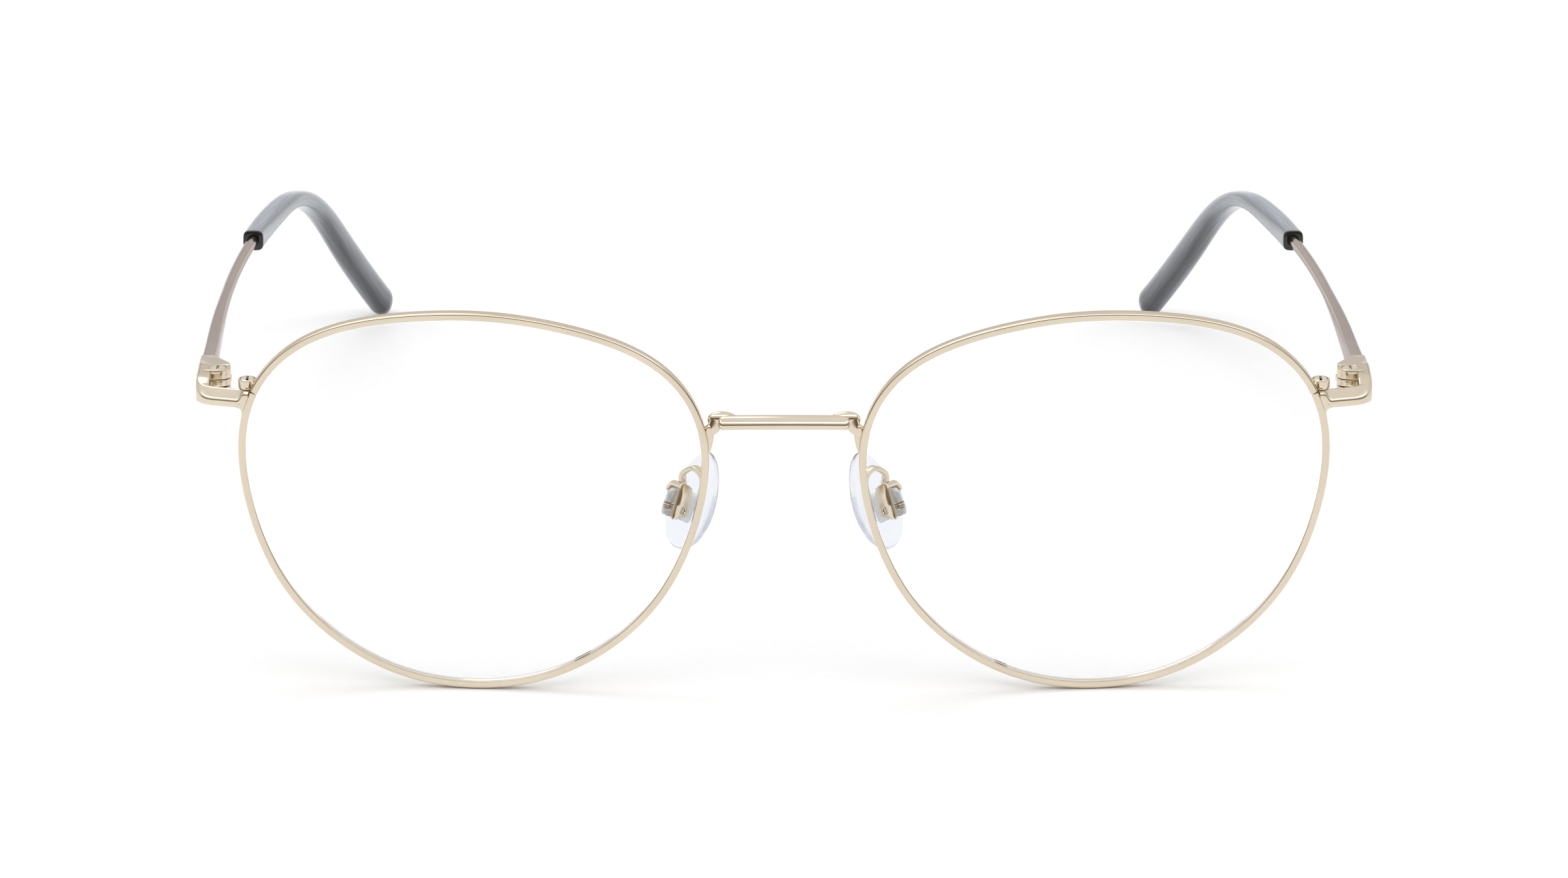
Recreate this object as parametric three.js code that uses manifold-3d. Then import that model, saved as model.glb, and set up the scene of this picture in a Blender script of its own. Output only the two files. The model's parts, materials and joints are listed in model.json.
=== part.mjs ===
// Round metal eyeglasses standing open on a table: two split eyewires that clamp clear lenses,
// a bridge, end pieces with three-knuckle hinges, wire temples in plastic tips, and rocking nose pads.
// Millimetres, +X to the wearer's left, +Y towards the face, +Z up, table at z = 0.
import * as THREE from "three";
import { mergeVertices } from "three/addons/utils/BufferGeometryUtils.js";
import Module from "manifold-3d";

// ---- Driving dimensions: millimetres, and degrees where the name says so ----
const LENS_WIDTH = 50.4;
const LENS_HEIGHT = 42;
const BRIDGE_WIDTH = 17.6; // between the two lenses at their nearest
const END_REACH = 5.35; // outer side of the end piece beyond the lens
const TEMPLE_LENGTH = 140; // from the hinge pin along the wire to the end of the tip
const BASE_CURVE_RADIUS = 110; // of the sphere that the lenses and eyewires follow
const FACE_WRAP_DEGREES = 4;
const PANTOSCOPIC_DEGREES = 4.5; // temples against the front's normal

// Distances from a lens's box centre to its edge, every 22.5 degrees from the temple side over the
// top to the nose, for a lens of the usual size; the curve between them is trigonometric.
const OUTLINE_RADII = [
  24.35, 26.05, 24.7, 21.8, 20.65, 21.35, 23.95, 25.9,
  24.4, 22.9, 21.95, 21.35, 21.05, 21.35, 21.95, 22.95,
];

const LENS_THICKNESS = 1.3;
const BEVEL_HEIGHT = 0.26; // of the V round the lens edge
const BEVEL_WIDTH = 0.64;

const RIM_THICKNESS = 0.8; // seen from the front
const RIM_DEPTH = 1.4;
const RIM_COVER = 0.2; // how far the rim reaches over the lens edge
const RIM_CHAMFER = 0.18;
const RIM_SPLIT = 0.15; // gap between the rim's two ends

const BAR_LEVEL = 10.7; // end piece above the lens centre
const BAR_HEIGHT = 1.85;
const BAR_DEPTH = 1.3;
const CORNER_RADIUS = 1.8; // end piece's bend, along its middle
const BLOCK_RADIUS = 1.0; // closing block
const BLOCK_HEIGHT = 1.15;
const BLOCK_OUTSET = 0.35; // block's axis beyond the rim's outer side
const BLOCK_SETBACK = 1.25; // block's axis behind the rim's middle

const HINGE_SETBACK = 11.5; // hinge pin behind the lens's front pole
const HINGE_HEIGHT = 3.2;
const KNUCKLE_RADIUS = 1.45;
const PIN_INSET = 2.2; // hinge pin inside the front's outer side
const SLOT_HEIGHT = 0.9; // between the end piece's two knuckles
const TONGUE_HEIGHT = 0.72; // temple's knuckle
const FLANGE_DEPTH = 0.7; // plate behind the knuckles
const FLANGE_STEP = 0.05; // flange below the knuckles, at its top and bottom
const STUB_LENGTH = 4.6; // hinge piece behind the knuckles, to its weld to the temple

const TEMPLE_THICKNESS = 1.5;
const TEMPLE_HEIGHT = 2.4; // at the hinge
const FLAT_LENGTH = 14; // stretch of full height, from the hinge pin
const WIRE_DIAMETER = 1.3;
const CORE_LENGTH = 55; // wire inside the tip
const TIP_LENGTH = 67.2;
const TIP_MOUTH = 2.4; // width and height where the wire goes in
const TIP_SHOULDER = 15; // stretch over which the tip reaches its thickness
const TIP_THICKNESS = 2.8; // across
const TIP_WAIST = 1.9; // height where the ear bend begins
const WAIST_PLACE = 95; // the waist, along the temple
const TIP_HEIGHT = 3.5; // behind the ear
const TIP_FULL_PLACE = 128; // where that height is reached
const TIP_ROUNDING = 2.2; // length of the tip's rounded end
const SPREAD_DEGREES = 1.45; // outward turn of the temple where it leaves the flat
const TOE_DEGREES = 23.8; // inward turn that the temple gathers by its end
const TAPER_END = 45; // where the flat temple has become a round wire
const EAR_BEND_START = 89;
const EAR_BEND_RUN = 32;
const LEFT_FOLD_DEGREES = 2; // the left temple stands folded in a little; the right is fully open

const BRIDGE_LEVEL = 9.45; // bridge bar's middle above the lens centre
const BRIDGE_HEIGHT = 1.4;
const BRIDGE_DEPTH = 1.8;
const BRIDGE_ARCH = 0.2;
const BRIDGE_FOOT_DROP = 3.7;
const BRIDGE_FOOT_RADIUS = 0.75;

const PAD_LENGTH = 11.1;
const PAD_WIDTH = 7.5;
const PAD_THICKNESS = 1.6;
const PAD_CENTRE_X = 9.95;
const PAD_SETBACK = 6; // pad centre behind the lens's front pole
const PAD_LEVEL = -1.3; // pad centre against the lens centre
const PAD_FRONTAL_DEGREES = 30;
const PAD_SPLAY_DEGREES = 38;
const PAD_STANDOFF = 2.1; // pad's middle plane to its screw
const PIVOT_DROP = 1.35; // screw below the pad's middle
const PAD_ROCK_DEGREES = 6; // each way about the screw
const BOSS_WIDTH = 1.3; // along the screw
const BOSS_TOP = 1.95; // above the screw
const BOSS_BOTTOM = 1.0; // below the screw
const BOSS_REACH = 1.35; // off the nose from the screw
const BOX_WALL = 0.5;
const BOX_DEPTH = 2.0; // off the nose, with the screw in its middle
const BOX_BOTTOM = 1.15; // below the screw
const ARM_DIAMETER = 0.9;
const ARM_LOOP = 1.8; // height of the arm's loop over its foot
const ARM_LEVEL = 1.2; // arm's foot above the lens centre

const HINGE_SCREW = { head: 0.9, headDepth: 0.35, shank: 0.5 };
const RIM_SCREW = { head: 0.75, headDepth: 0.3, shank: 0.4 };
const PAD_SCREW = { head: 0.62, headDepth: 0.25, shank: 0.36 };
const SLOT_WIDTH = 0.28; // in each screw's head
const SLOT_SHARE = 0.6; // slot's depth over the head's

const SOLDER_GAP = 0.06; // between pieces joined for good
const RUNNING_GAP = 0.06; // between pieces that turn on each other
const LENS_GAP = 0.06; // between the lens's bevel and the rim's groove

const RIM_STATIONS = 80;
const ROUND_SEGMENTS = 20;
const WIRE_STEP = 2.5; // along the temple's bends

// ---- Values that follow from them ----
const radians = THREE.MathUtils.degToRad;
const V3 = (x, y, z) => new THREE.Vector3(x, y, z);
const RIM_OUTSIDE = RIM_THICKNESS - RIM_COVER; // rim's outer side beyond the lens edge
const LENS_X = (LENS_WIDTH + BRIDGE_WIDTH) / 2;
const LENS_Z = LENS_HEIGHT / 2 + RIM_OUTSIDE;
const STRIP_MIDDLE = PIN_INSET - TEMPLE_THICKNESS / 2; // temple's middle outside the hinge pin
const HINGE = V3(LENS_WIDTH + BRIDGE_WIDTH / 2 + END_REACH - PIN_INSET, HINGE_SETBACK, LENS_Z + BAR_LEVEL);
const PANTOSCOPIC = radians(PANTOSCOPIC_DEGREES);

// ---- Solids ----
const wasm = await Module();
wasm.setup();

// A closed geometry as a manifold-3d solid.
function toSolid(geometry) {
  const bare = new THREE.BufferGeometry();
  bare.setAttribute("position", geometry.getAttribute("position").clone());
  if (geometry.index) bare.setIndex(geometry.index.clone());
  const merged = mergeVertices(bare, 1e-4);
  const mesh = new wasm.Mesh({
    numProp: 3,
    vertProperties: merged.attributes.position.array,
    triVerts: new Uint32Array(merged.index.array),
  });
  return new wasm.Manifold(mesh);
}

// A manifold-3d solid as a geometry.
function toGeometry(solid) {
  const mesh = solid.getMesh();
  const geometry = new THREE.BufferGeometry();
  geometry.setAttribute("position", new THREE.BufferAttribute(mesh.vertProperties, 3));
  geometry.setIndex(new THREE.BufferAttribute(mesh.triVerts, 1));
  geometry.computeVertexNormals();
  return geometry;
}

const join = (...geometries) => toGeometry(geometries.map(toSolid).reduce((a, b) => a.add(b)));
const cut = (body, ...tools) =>
  toGeometry(tools.map(toSolid).reduce((a, b) => a.subtract(b), toSolid(body)));

// Turns a closed geometry's faces outwards.
function outward(geometry) {
  const index = geometry.index.array;
  const at = (i) => new THREE.Vector3().fromBufferAttribute(geometry.attributes.position, index[i]);
  let volume = 0;
  for (let i = 0; i < index.length; i += 3) volume += at(i).dot(at(i + 1).cross(at(i + 2)));
  if (volume < 0)
    for (let i = 0; i < index.length; i += 3) [index[i + 1], index[i + 2]] = [index[i + 2], index[i + 1]];
  return geometry;
}

// Closed solid through rings of points, with flat ends unless the rings close on themselves.
function loft(rings, closed = false) {
  const points = rings.flat();
  const size = rings[0].length;
  const index = [];
  for (let i = 0; i < (closed ? rings.length : rings.length - 1); i++) {
    const here = i * size;
    const next = ((i + 1) % rings.length) * size;
    for (let j = 0; j < size; j++) {
      const k = (j + 1) % size;
      index.push(here + j, here + k, next + k, here + j, next + k, next + j);
    }
  }
  const cap = (ring, first, flipped) => {
    const centre = points.push(ring.reduce((sum, p) => sum.add(p), V3(0, 0, 0)).divideScalar(size)) - 1;
    for (let j = 0; j < size; j++) {
      const pair = [first + j, first + ((j + 1) % size)];
      index.push(centre, ...(flipped ? pair.reverse() : pair));
    }
  };
  if (!closed) {
    cap(rings[0], 0, true);
    cap(rings.at(-1), (rings.length - 1) * size, false);
  }
  const geometry = new THREE.BufferGeometry().setFromPoints(points);
  geometry.setIndex(new THREE.BufferAttribute(new Uint32Array(index), 1));
  return outward(geometry);
}

// Rectangle with cut corners as eight [across, up] pairs; a cut of 0.29 of its size makes it round.
function section(width, height, corner) {
  const [w, h] = [width / 2, height / 2];
  return [
    [w, h - corner], [w - corner, h], [corner - w, h], [-w, h - corner],
    [-w, corner - h], [corner - w, -h], [w - corner, -h], [w, corner - h],
  ];
}
const ROUND_CUT = 1 - Math.SQRT1_2;
const roundSection = (diameter) => section(diameter, diameter, diameter * ROUND_CUT);

// Carries sections along points; "up" fixes how each section is turned.
function sweep(points, sections, up = V3(0, 0, 1)) {
  const rings = points.map((p, i) => {
    const ahead = points[Math.min(i + 1, points.length - 1)];
    const tangent = ahead.clone().sub(points[Math.max(i - 1, 0)]).normalize();
    const across = tangent.clone().cross(up).normalize();
    const upright = across.clone().cross(tangent);
    return sections[i].map(([a, b]) => p.clone().addScaledVector(across, a).addScaledVector(upright, b));
  });
  return loft(rings);
}

// Cylinder along Z from one height to another.
function rod(radius, from, to, x = 0, y = 0) {
  const geometry = new THREE.CylinderGeometry(radius, radius, to - from, ROUND_SEGMENTS);
  return geometry.rotateX(Math.PI / 2).translate(x, y, (from + to) / 2);
}

function box(x0, x1, y0, y1, z0, z1) {
  const geometry = new THREE.BoxGeometry(x1 - x0, y1 - y0, z1 - z0);
  return geometry.translate((x0 + x1) / 2, (y0 + y1) / 2, (z0 + z1) / 2);
}

// Plate of an outline in X and Y between two heights.
function plate(outline, from, to) {
  const shape = new THREE.Shape(outline.map(([x, y]) => new THREE.Vector2(x, y)));
  const geometry = new THREE.ExtrudeGeometry(shape, { depth: to - from, bevelEnabled: false });
  return geometry.translate(0, 0, from);
}

// Slotted screw along Z: head's top at "top", shank's end at "bottom".
function screw({ head, headDepth, shank }, top, bottom) {
  const under = top - headDepth;
  const profile = [[0, bottom], [shank, bottom], [shank, under], [head, under], [head, top], [0, top]];
  const turned = new THREE.LatheGeometry(profile.map(([r, z]) => new THREE.Vector2(r, z)), ROUND_SEGMENTS);
  turned.rotateX(Math.PI / 2);
  const merged = toGeometry(toSolid(turned));
  const slotFloor = top - headDepth * SLOT_SHARE;
  return cut(merged, box(-SLOT_WIDTH / 2, SLOT_WIDTH / 2, -2 * head, 2 * head, slotFloor, top + head));
}

// The hole that such a screw passes through, with its head let in.
function screwHole({ head, headDepth, shank }, top, bottom) {
  const seat = rod(head + RUNNING_GAP, top - headDepth - RUNNING_GAP, top + 1);
  return join(seat, rod(shank + RUNNING_GAP, bottom - 1, top));
}

// ---- Lens outline and the front's curve ----
const HALF_TURN_TERMS = OUTLINE_RADII.length / 2;
const rawOutline = (angle) => {
  const count = OUTLINE_RADII.length;
  let radius = 0;
  for (let k = 0; k <= HALF_TURN_TERMS; k++) {
    const weight = (k === 0 || k === HALF_TURN_TERMS ? 1 : 2) / count;
    OUTLINE_RADII.forEach((r, i) => {
      radius += weight * r * Math.cos(k * (angle - (2 * Math.PI * i) / count));
    });
  }
  return new THREE.Vector2(radius * Math.cos(angle), radius * Math.sin(angle));
};
const rawBox = new THREE.Box2().setFromPoints(
  Array.from({ length: 720 }, (_, i) => rawOutline((i * Math.PI) / 360)),
);
const rawSize = rawBox.getSize(new THREE.Vector2());
const rawCentre = rawBox.getCenter(new THREE.Vector2());

// Lens edge at an angle, moved outwards by "offset": u towards the temple and v up from the box centre.
function edge(angle, offset = 0) {
  const scale = new THREE.Vector2(LENS_WIDTH / rawSize.x, LENS_HEIGHT / rawSize.y);
  const at = (a) => rawOutline(a).sub(rawCentre).multiply(scale);
  const along = at(angle + 1e-3).sub(at(angle - 1e-3)).normalize();
  return at(angle).add(new THREE.Vector2(along.y, -along.x).multiplyScalar(offset));
}
const frontDepth = (u, v) =>
  (u * u + v * v) / (2 * BASE_CURVE_RADIUS) + u * Math.tan(radians(FACE_WRAP_DEGREES));

// Point on the left rim's section: outwards from the lens edge, and behind its middle.
function rimPoint(angle, outwards, behind) {
  const apex = edge(angle);
  const moved = edge(angle, outwards);
  return V3(LENS_X + moved.x, frontDepth(apex.x, apex.y) + behind, LENS_Z + moved.y);
}

// Angle between two limits at which the rim's outer side has a given height over the lens centre.
function angleAtLevel(level, low, high) {
  for (let i = 0; i < 40; i++) {
    const middle = (low + high) / 2;
    if (edge(middle, RIM_OUTSIDE).y < level === edge(low, RIM_OUTSIDE).y < level) low = middle;
    else high = middle;
  }
  return low;
}
const BAR_TOP = BAR_LEVEL + BAR_HEIGHT / 2;
const SPLIT_ANGLE = angleAtLevel(BAR_TOP + SOLDER_GAP + RIM_SPLIT / 2, 0, radians(60));

// ---- Eyewires and lenses ----
const GROOVE_HALF = BEVEL_WIDTH / 2 + LENS_GAP * 2;
const RIM_SECTION = [
  [-RIM_COVER, -RIM_DEPTH / 2], [-RIM_COVER, -GROOVE_HALF], [LENS_GAP, 0],
  [-RIM_COVER, GROOVE_HALF], [-RIM_COVER, RIM_DEPTH / 2],
  [RIM_OUTSIDE - RIM_CHAMFER, RIM_DEPTH / 2], [RIM_OUTSIDE, RIM_DEPTH / 2 - RIM_CHAMFER],
  [RIM_OUTSIDE, RIM_CHAMFER - RIM_DEPTH / 2], [RIM_OUTSIDE - RIM_CHAMFER, -RIM_DEPTH / 2],
];

// A wire rolled to a V-grooved section and bent round the lens, left open at its split.
function rimGeometry() {
  const halfGap = RIM_SPLIT / 2 / edge(SPLIT_ANGLE).length();
  const [from, to] = [SPLIT_ANGLE + halfGap, SPLIT_ANGLE - halfGap + 2 * Math.PI];
  const rings = Array.from({ length: RIM_STATIONS + 1 }, (_, i) =>
    RIM_SECTION.map(([out, behind]) => rimPoint(from + ((to - from) * i) / RIM_STATIONS, out, behind)),
  );
  return loft(rings);
}

// Curved disc of the lens outline: its edge profile runs from the front to the back.
function discGeometry(profile) {
  const ring = (share, [offset, behind]) =>
    Array.from({ length: RIM_STATIONS }, (_, i) => {
      const angle = SPLIT_ANGLE + (i * 2 * Math.PI) / RIM_STATIONS;
      const rimSide = rimPoint(angle, offset, behind);
      if (share === 1) return rimSide;
      const p = edge(angle, offset).multiplyScalar(share);
      return V3(LENS_X + p.x, frontDepth(p.x, p.y) + behind, LENS_Z + p.y);
    });
  const [front, back] = [profile[0], profile.at(-1)];
  return loft([
    ring(0.3, front), ring(0.65, front),
    ...profile.map((pair) => ring(1, pair)),
    ring(0.65, back), ring(0.3, back),
  ]);
}

// Clear lens of even thickness with a V bevel that sits in the groove.
const lensGeometry = () =>
  discGeometry([
    [-BEVEL_HEIGHT, -LENS_THICKNESS / 2], [-BEVEL_HEIGHT, -BEVEL_WIDTH / 2], [0, 0],
    [-BEVEL_HEIGHT, BEVEL_WIDTH / 2], [-BEVEL_HEIGHT, LENS_THICKNESS / 2],
  ]);

// The room that the rim and its lens take, for what is soldered to the rim.
const rimRoom = () => {
  const half = RIM_DEPTH / 2 + SOLDER_GAP;
  const [inner, outer] = [-RIM_COVER - SOLDER_GAP, RIM_OUTSIDE + SOLDER_GAP];
  return discGeometry([[inner, -half], [outer, -half], [outer, half], [inner, half]]);
};

// The clear way through the lens, kept free of what is soldered behind the rim.
const lensSight = () => discGeometry([[-RIM_COVER, -RIM_DEPTH], [-RIM_COVER, 3 * RIM_DEPTH]]);

// ---- End piece, closing block and their screw ----
const barAngle = angleAtLevel(BAR_LEVEL, 0, radians(60));
const barStart = edge(barAngle);
const barSlope = Math.atan(frontDepth(barStart.x + 1, barStart.y) - frontDepth(barStart.x, barStart.y));
const RIM_SCREW_END = LENS_Z + BAR_TOP - BAR_HEIGHT / 2;
const blockFoot = rimPoint(SPLIT_ANGLE, RIM_OUTSIDE, 0);
const BLOCK_AXIS = V3(blockFoot.x + BLOCK_OUTSET, blockFoot.y + BLOCK_SETBACK, LENS_Z + BAR_TOP);

// Middle line of the end piece: out from the rim along the front's curve, round the corner and back.
function barLine() {
  const level = LENS_Z + BAR_LEVEL;
  const start = rimPoint(barAngle, 0, (BAR_DEPTH - RIM_DEPTH) / 2);
  const legX = HINGE.x + STRIP_MIDDLE;
  const turn = Math.PI / 2 - barSlope;
  const reach = CORNER_RADIUS * Math.tan(turn / 2);
  const cornerY = start.y + (legX - start.x) * Math.tan(barSlope);
  const bend = V3(legX - CORNER_RADIUS, cornerY + reach, level);
  const points = [start.clone().setZ(level)];
  for (let i = 0; i <= 8; i++) {
    const angle = barSlope - Math.PI / 2 + (turn * i) / 8;
    const spoke = V3(Math.cos(angle), Math.sin(angle), 0);
    points.push(bend.clone().addScaledVector(spoke, CORNER_RADIUS));
  }
  return points;
}

function endPieceGeometry(rim) {
  const line = barLine();
  const sections = line.map(() => section(BAR_DEPTH, BAR_HEIGHT, 0.45));
  const corner = line.at(-1);
  // The leg settles into the hinge's tilted frame and grows to the hinge's height.
  const legEnd = fromHinge(V3(STRIP_MIDDLE, KNUCKLE_RADIUS + 1, 0));
  for (const share of [0.3, 0.55, 1]) {
    line.push(corner.clone().lerp(legEnd, share));
    const height = THREE.MathUtils.lerp(BAR_HEIGHT, HINGE_HEIGHT, Math.min(1, share * 1.9));
    sections.push(section(TEMPLE_THICKNESS, height, 0.35));
  }
  const lower = LENS_Z + BAR_LEVEL - BAR_HEIGHT / 2;
  const [x, y, z] = BLOCK_AXIS.toArray();
  const seat = rod(BLOCK_RADIUS, lower, z, x, y);
  const thread = rod(RIM_SCREW.shank + RUNNING_GAP, RIM_SCREW_END, z + 1, x, y);
  const web = box(0, STRIP_MIDDLE, -KNUCKLE_RADIUS, KNUCKLE_RADIUS, -TOP, TOP);
  const knuckles = join(rod(KNUCKLE_RADIUS, -TOP, TOP), web);
  const slot = rod(KNUCKLE_RADIUS + RUNNING_GAP, -SLOT_TOP, SLOT_TOP);
  const slotMouth = box(-KNUCKLE_RADIUS - 1, KNUCKLE_RADIUS + RUNNING_GAP, 0, 4, -SLOT_TOP, SLOT_TOP);
  const behindButt = box(-9, 9, KNUCKLE_RADIUS, 9, -9, 9);
  const tools = [slot, slotMouth, behindButt, screwHole(HINGE_SCREW, TOP, -TOP)].map(place);
  const whole = join(sweep(line, sections), seat, place(knuckles));
  return cut(whole, rim, lensSight(), thread, ...tools);
}

function closingBlockGeometry(rim) {
  const [from, to] = [BLOCK_AXIS.z + SOLDER_GAP, BLOCK_AXIS.z + BLOCK_HEIGHT];
  const hole = screwHole(RIM_SCREW, to, from).translate(BLOCK_AXIS.x, BLOCK_AXIS.y, 0);
  return cut(rod(BLOCK_RADIUS, from, to, BLOCK_AXIS.x, BLOCK_AXIS.y), rim, hole);
}

function rimScrewGeometry() {
  const geometry = screw(RIM_SCREW, BLOCK_AXIS.z + BLOCK_HEIGHT, RIM_SCREW_END + RUNNING_GAP);
  return geometry.translate(BLOCK_AXIS.x, BLOCK_AXIS.y, 0);
}

// ---- Hinge, in a frame with Z along its pin and Y along the open temple ----
const hingeMatrix = new THREE.Matrix4().makeRotationX(-PANTOSCOPIC).setPosition(HINGE);
const fromHinge = (p) => p.clone().applyMatrix4(hingeMatrix);
function place(geometry) {
  return geometry.applyMatrix4(hingeMatrix);
}
const TOP = HINGE_HEIGHT / 2;
const SLOT_TOP = SLOT_HEIGHT / 2;
const TONGUE_TOP = SLOT_TOP - RUNNING_GAP;

// The temple's knuckle, on a stub that closes against the end piece and is welded to the temple.
function hingeTempleGeometry() {
  const bottom = TONGUE_TOP - TONGUE_HEIGHT;
  const tongue = rod(KNUCKLE_RADIUS, bottom, TONGUE_TOP);
  const near = KNUCKLE_RADIUS + RUNNING_GAP;
  const neck = box(-KNUCKLE_RADIUS, KNUCKLE_RADIUS, 0, near + FLANGE_DEPTH / 2, bottom, TONGUE_TOP);
  const far = near + STUB_LENGTH;
  const [outer, inner] = [PIN_INSET, PIN_INSET - TEMPLE_THICKNESS];
  const wing = -KNUCKLE_RADIUS * 0.9;
  const flange = plate(
    [[outer, near], [outer, far], [inner, far], [wing, near + FLANGE_DEPTH], [wing, near]],
    FLANGE_STEP - TOP,
    TOP - FLANGE_STEP,
  );
  const bore = rod(HINGE_SCREW.shank + RUNNING_GAP, bottom - 1, TONGUE_TOP + 1);
  return cut(join(tongue, neck, flange), bore);
}

const hingeScrewGeometry = () => screw(HINGE_SCREW, TOP, -TOP);

// ---- Temple wire and tip, in the hinge's frame ----
const smooth = (s, start, run) => THREE.MathUtils.smoothstep(s, start, start + run);

// Middle of the wire at every half millimetre for a given ear bend, in radians.
function wireLine(bend) {
  const step = 0.5;
  const points = [V3(STRIP_MIDDLE, 0, 0)];
  for (let s = step / 2; s < TEMPLE_LENGTH; s += step) {
    const toe = TOE_DEGREES * (s / TEMPLE_LENGTH) ** 2 - SPREAD_DEGREES;
    const yaw = s > FLAT_LENGTH ? radians(toe) : 0;
    const pitch = bend * smooth(s, EAR_BEND_START, EAR_BEND_RUN);
    const forward = V3(-Math.sin(yaw) * Math.cos(pitch), Math.cos(yaw) * Math.cos(pitch), -Math.sin(pitch));
    points.push(points.at(-1).clone().addScaledVector(forward, step));
  }
  return (s) => {
    const i = Math.min(Math.floor(s / step), points.length - 2);
    return points[i].clone().lerp(points[i + 1], s / step - i);
  };
}

const TIP_START = TEMPLE_LENGTH - TIP_LENGTH;
const bentStations = (from, to) => {
  const count = Math.ceil((to - from) / WIRE_STEP);
  return Array.from({ length: count + 1 }, (_, i) => from + ((to - from) * i) / count);
};

// Tip: slim over the ear, full behind it, rounded at its end.
function tipStations() {
  const full = TEMPLE_LENGTH - TIP_ROUNDING;
  const body = bentStations(TIP_START, full).map((s) => [s, 1]);
  const end = [0.35, 0.65, 0.88, 1].map((t) => [full + TIP_ROUNDING * t, Math.sqrt(1 - (t * 0.86) ** 2)]);
  return [...body, ...end];
}
function tipSection(s, share) {
  const width = TIP_MOUTH + (TIP_THICKNESS - TIP_MOUTH) * smooth(s, TIP_START, TIP_SHOULDER);
  const slimmer = (TIP_MOUTH - TIP_WAIST) * smooth(s, TIP_START, WAIST_PLACE - TIP_START);
  const fuller = (TIP_HEIGHT - TIP_WAIST) * smooth(s, WAIST_PLACE, TIP_FULL_PLACE - WAIST_PLACE);
  return section(width * share, (TIP_MOUTH - slimmer + fuller) * share, width * share * 0.25);
}
function tipOutside(line) {
  const stations = tipStations();
  return sweep(stations.map(([s]) => line(s)), stations.map(([s, share]) => tipSection(s, share)));
}

// Height of the tip's lowest point over the table for an ear bend.
function tipClearance(bend) {
  const position = place(tipOutside(wireLine(bend))).attributes.position;
  let lowest = Infinity;
  for (let i = 0; i < position.count; i++) lowest = Math.min(lowest, position.getZ(i));
  return lowest;
}
// The temples are bent over the ear until their tips meet the table that the rims stand on.
function earBend() {
  let [low, high] = [0, Math.PI / 2];
  for (let i = 0; i < 24; i++) {
    const middle = (low + high) / 2;
    if (tipClearance(middle) > 0) low = middle;
    else high = middle;
  }
  return low;
}
const LINE = wireLine(earBend());

function templeGeometry(extra = 0) {
  const start = extra ? TIP_START - 2 : KNUCKLE_RADIUS + RUNNING_GAP + STUB_LENGTH + SOLDER_GAP;
  const end = TIP_START + CORE_LENGTH + extra;
  const stations = extra ? bentStations(start, end) : [start, ...bentStations(FLAT_LENGTH, end)];
  const sections = stations.map((s) => {
    const share = Math.min(1, Math.max(0, (s - FLAT_LENGTH) / (TAPER_END - FLAT_LENGTH)));
    const width = THREE.MathUtils.lerp(TEMPLE_THICKNESS, WIRE_DIAMETER, share) + 2 * extra;
    const height = THREE.MathUtils.lerp(TEMPLE_HEIGHT, WIRE_DIAMETER, share) + 2 * extra;
    return section(width, height, width * THREE.MathUtils.lerp(0.2, ROUND_CUT, share));
  });
  return sweep(stations.map(LINE), sections);
}

const tipGeometry = () => cut(tipOutside(LINE), templeGeometry(SOLDER_GAP));

// ---- Nose pad, its screw and box, in a frame with X along the screw, Y down the pad, Z off the nose ----
const [frontal, splay] = [radians(PAD_FRONTAL_DEGREES), radians(PAD_SPLAY_DEGREES)];
const padAcross = V3(Math.sin(splay), Math.cos(splay), 0);
const padDown = V3(Math.sin(frontal), 0, -Math.cos(frontal)).projectOnPlane(padAcross).normalize();
const padOff = padAcross.clone().cross(padDown).negate();
const PAD_CENTRE = V3(PAD_CENTRE_X, PAD_SETBACK, LENS_Z + PAD_LEVEL);
const PAD_PIVOT = PAD_CENTRE.clone().addScaledVector(padOff, PAD_STANDOFF);
PAD_PIVOT.addScaledVector(padDown, PIVOT_DROP);
// X, Y and Z of this frame run back along the screw, up the pad and off the nose.
const padMatrix = new THREE.Matrix4().makeBasis(padAcross, padDown.clone().negate(), padOff.clone());
padMatrix.setPosition(PAD_PIVOT);

const WALL_X = BOSS_WIDTH / 2 + RUNNING_GAP; // inner faces of the box's walls
// The roof clears the boss when the pad rocks.
const BOX_TOP = BOSS_TOP + (BOX_DEPTH / 2) * Math.tan(radians(PAD_ROCK_DEGREES)) + RUNNING_GAP + BOX_WALL;
const acrossRod = (radius, from, to) => rod(radius, from, to).rotateY(Math.PI / 2);

function nosePadGeometry() {
  const profile = [];
  for (let i = 0; i <= 6; i++) {
    const t = (i / 6) * Math.PI;
    profile.push(new THREE.Vector2(Math.sin(t), (-Math.cos(t) * PAD_THICKNESS) / 2));
  }
  profile[0].x = profile[6].x = 0;
  const disc = new THREE.LatheGeometry(profile, 28).rotateX(Math.PI / 2);
  disc.scale(PAD_WIDTH / 2, PAD_LENGTH / 2, 1).translate(0, PIVOT_DROP, -PAD_STANDOFF);
  const boss = box(-BOSS_WIDTH / 2, BOSS_WIDTH / 2, -BOSS_BOTTOM, BOSS_TOP, -PAD_STANDOFF, BOSS_REACH);
  const bore = acrossRod(PAD_SCREW.shank + RUNNING_GAP, -BOSS_WIDTH, BOSS_WIDTH);
  return cut(join(disc, boss), bore).applyMatrix4(padMatrix);
}

// A cup of two walls and a roof; the pad's boss turns between the walls.
function padBoxGeometry() {
  const out = WALL_X + BOX_WALL;
  const block = box(-out, out, -BOX_BOTTOM, BOX_TOP, -BOX_DEPTH / 2, BOX_DEPTH / 2);
  const room = box(-WALL_X, WALL_X, -BOX_BOTTOM - 1, BOX_TOP - BOX_WALL, -BOX_DEPTH, BOX_DEPTH);
  const turned = screwHole(PAD_SCREW, out, -out).rotateY(-Math.PI / 2);
  return cut(block, room, turned).applyMatrix4(padMatrix);
}

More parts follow.
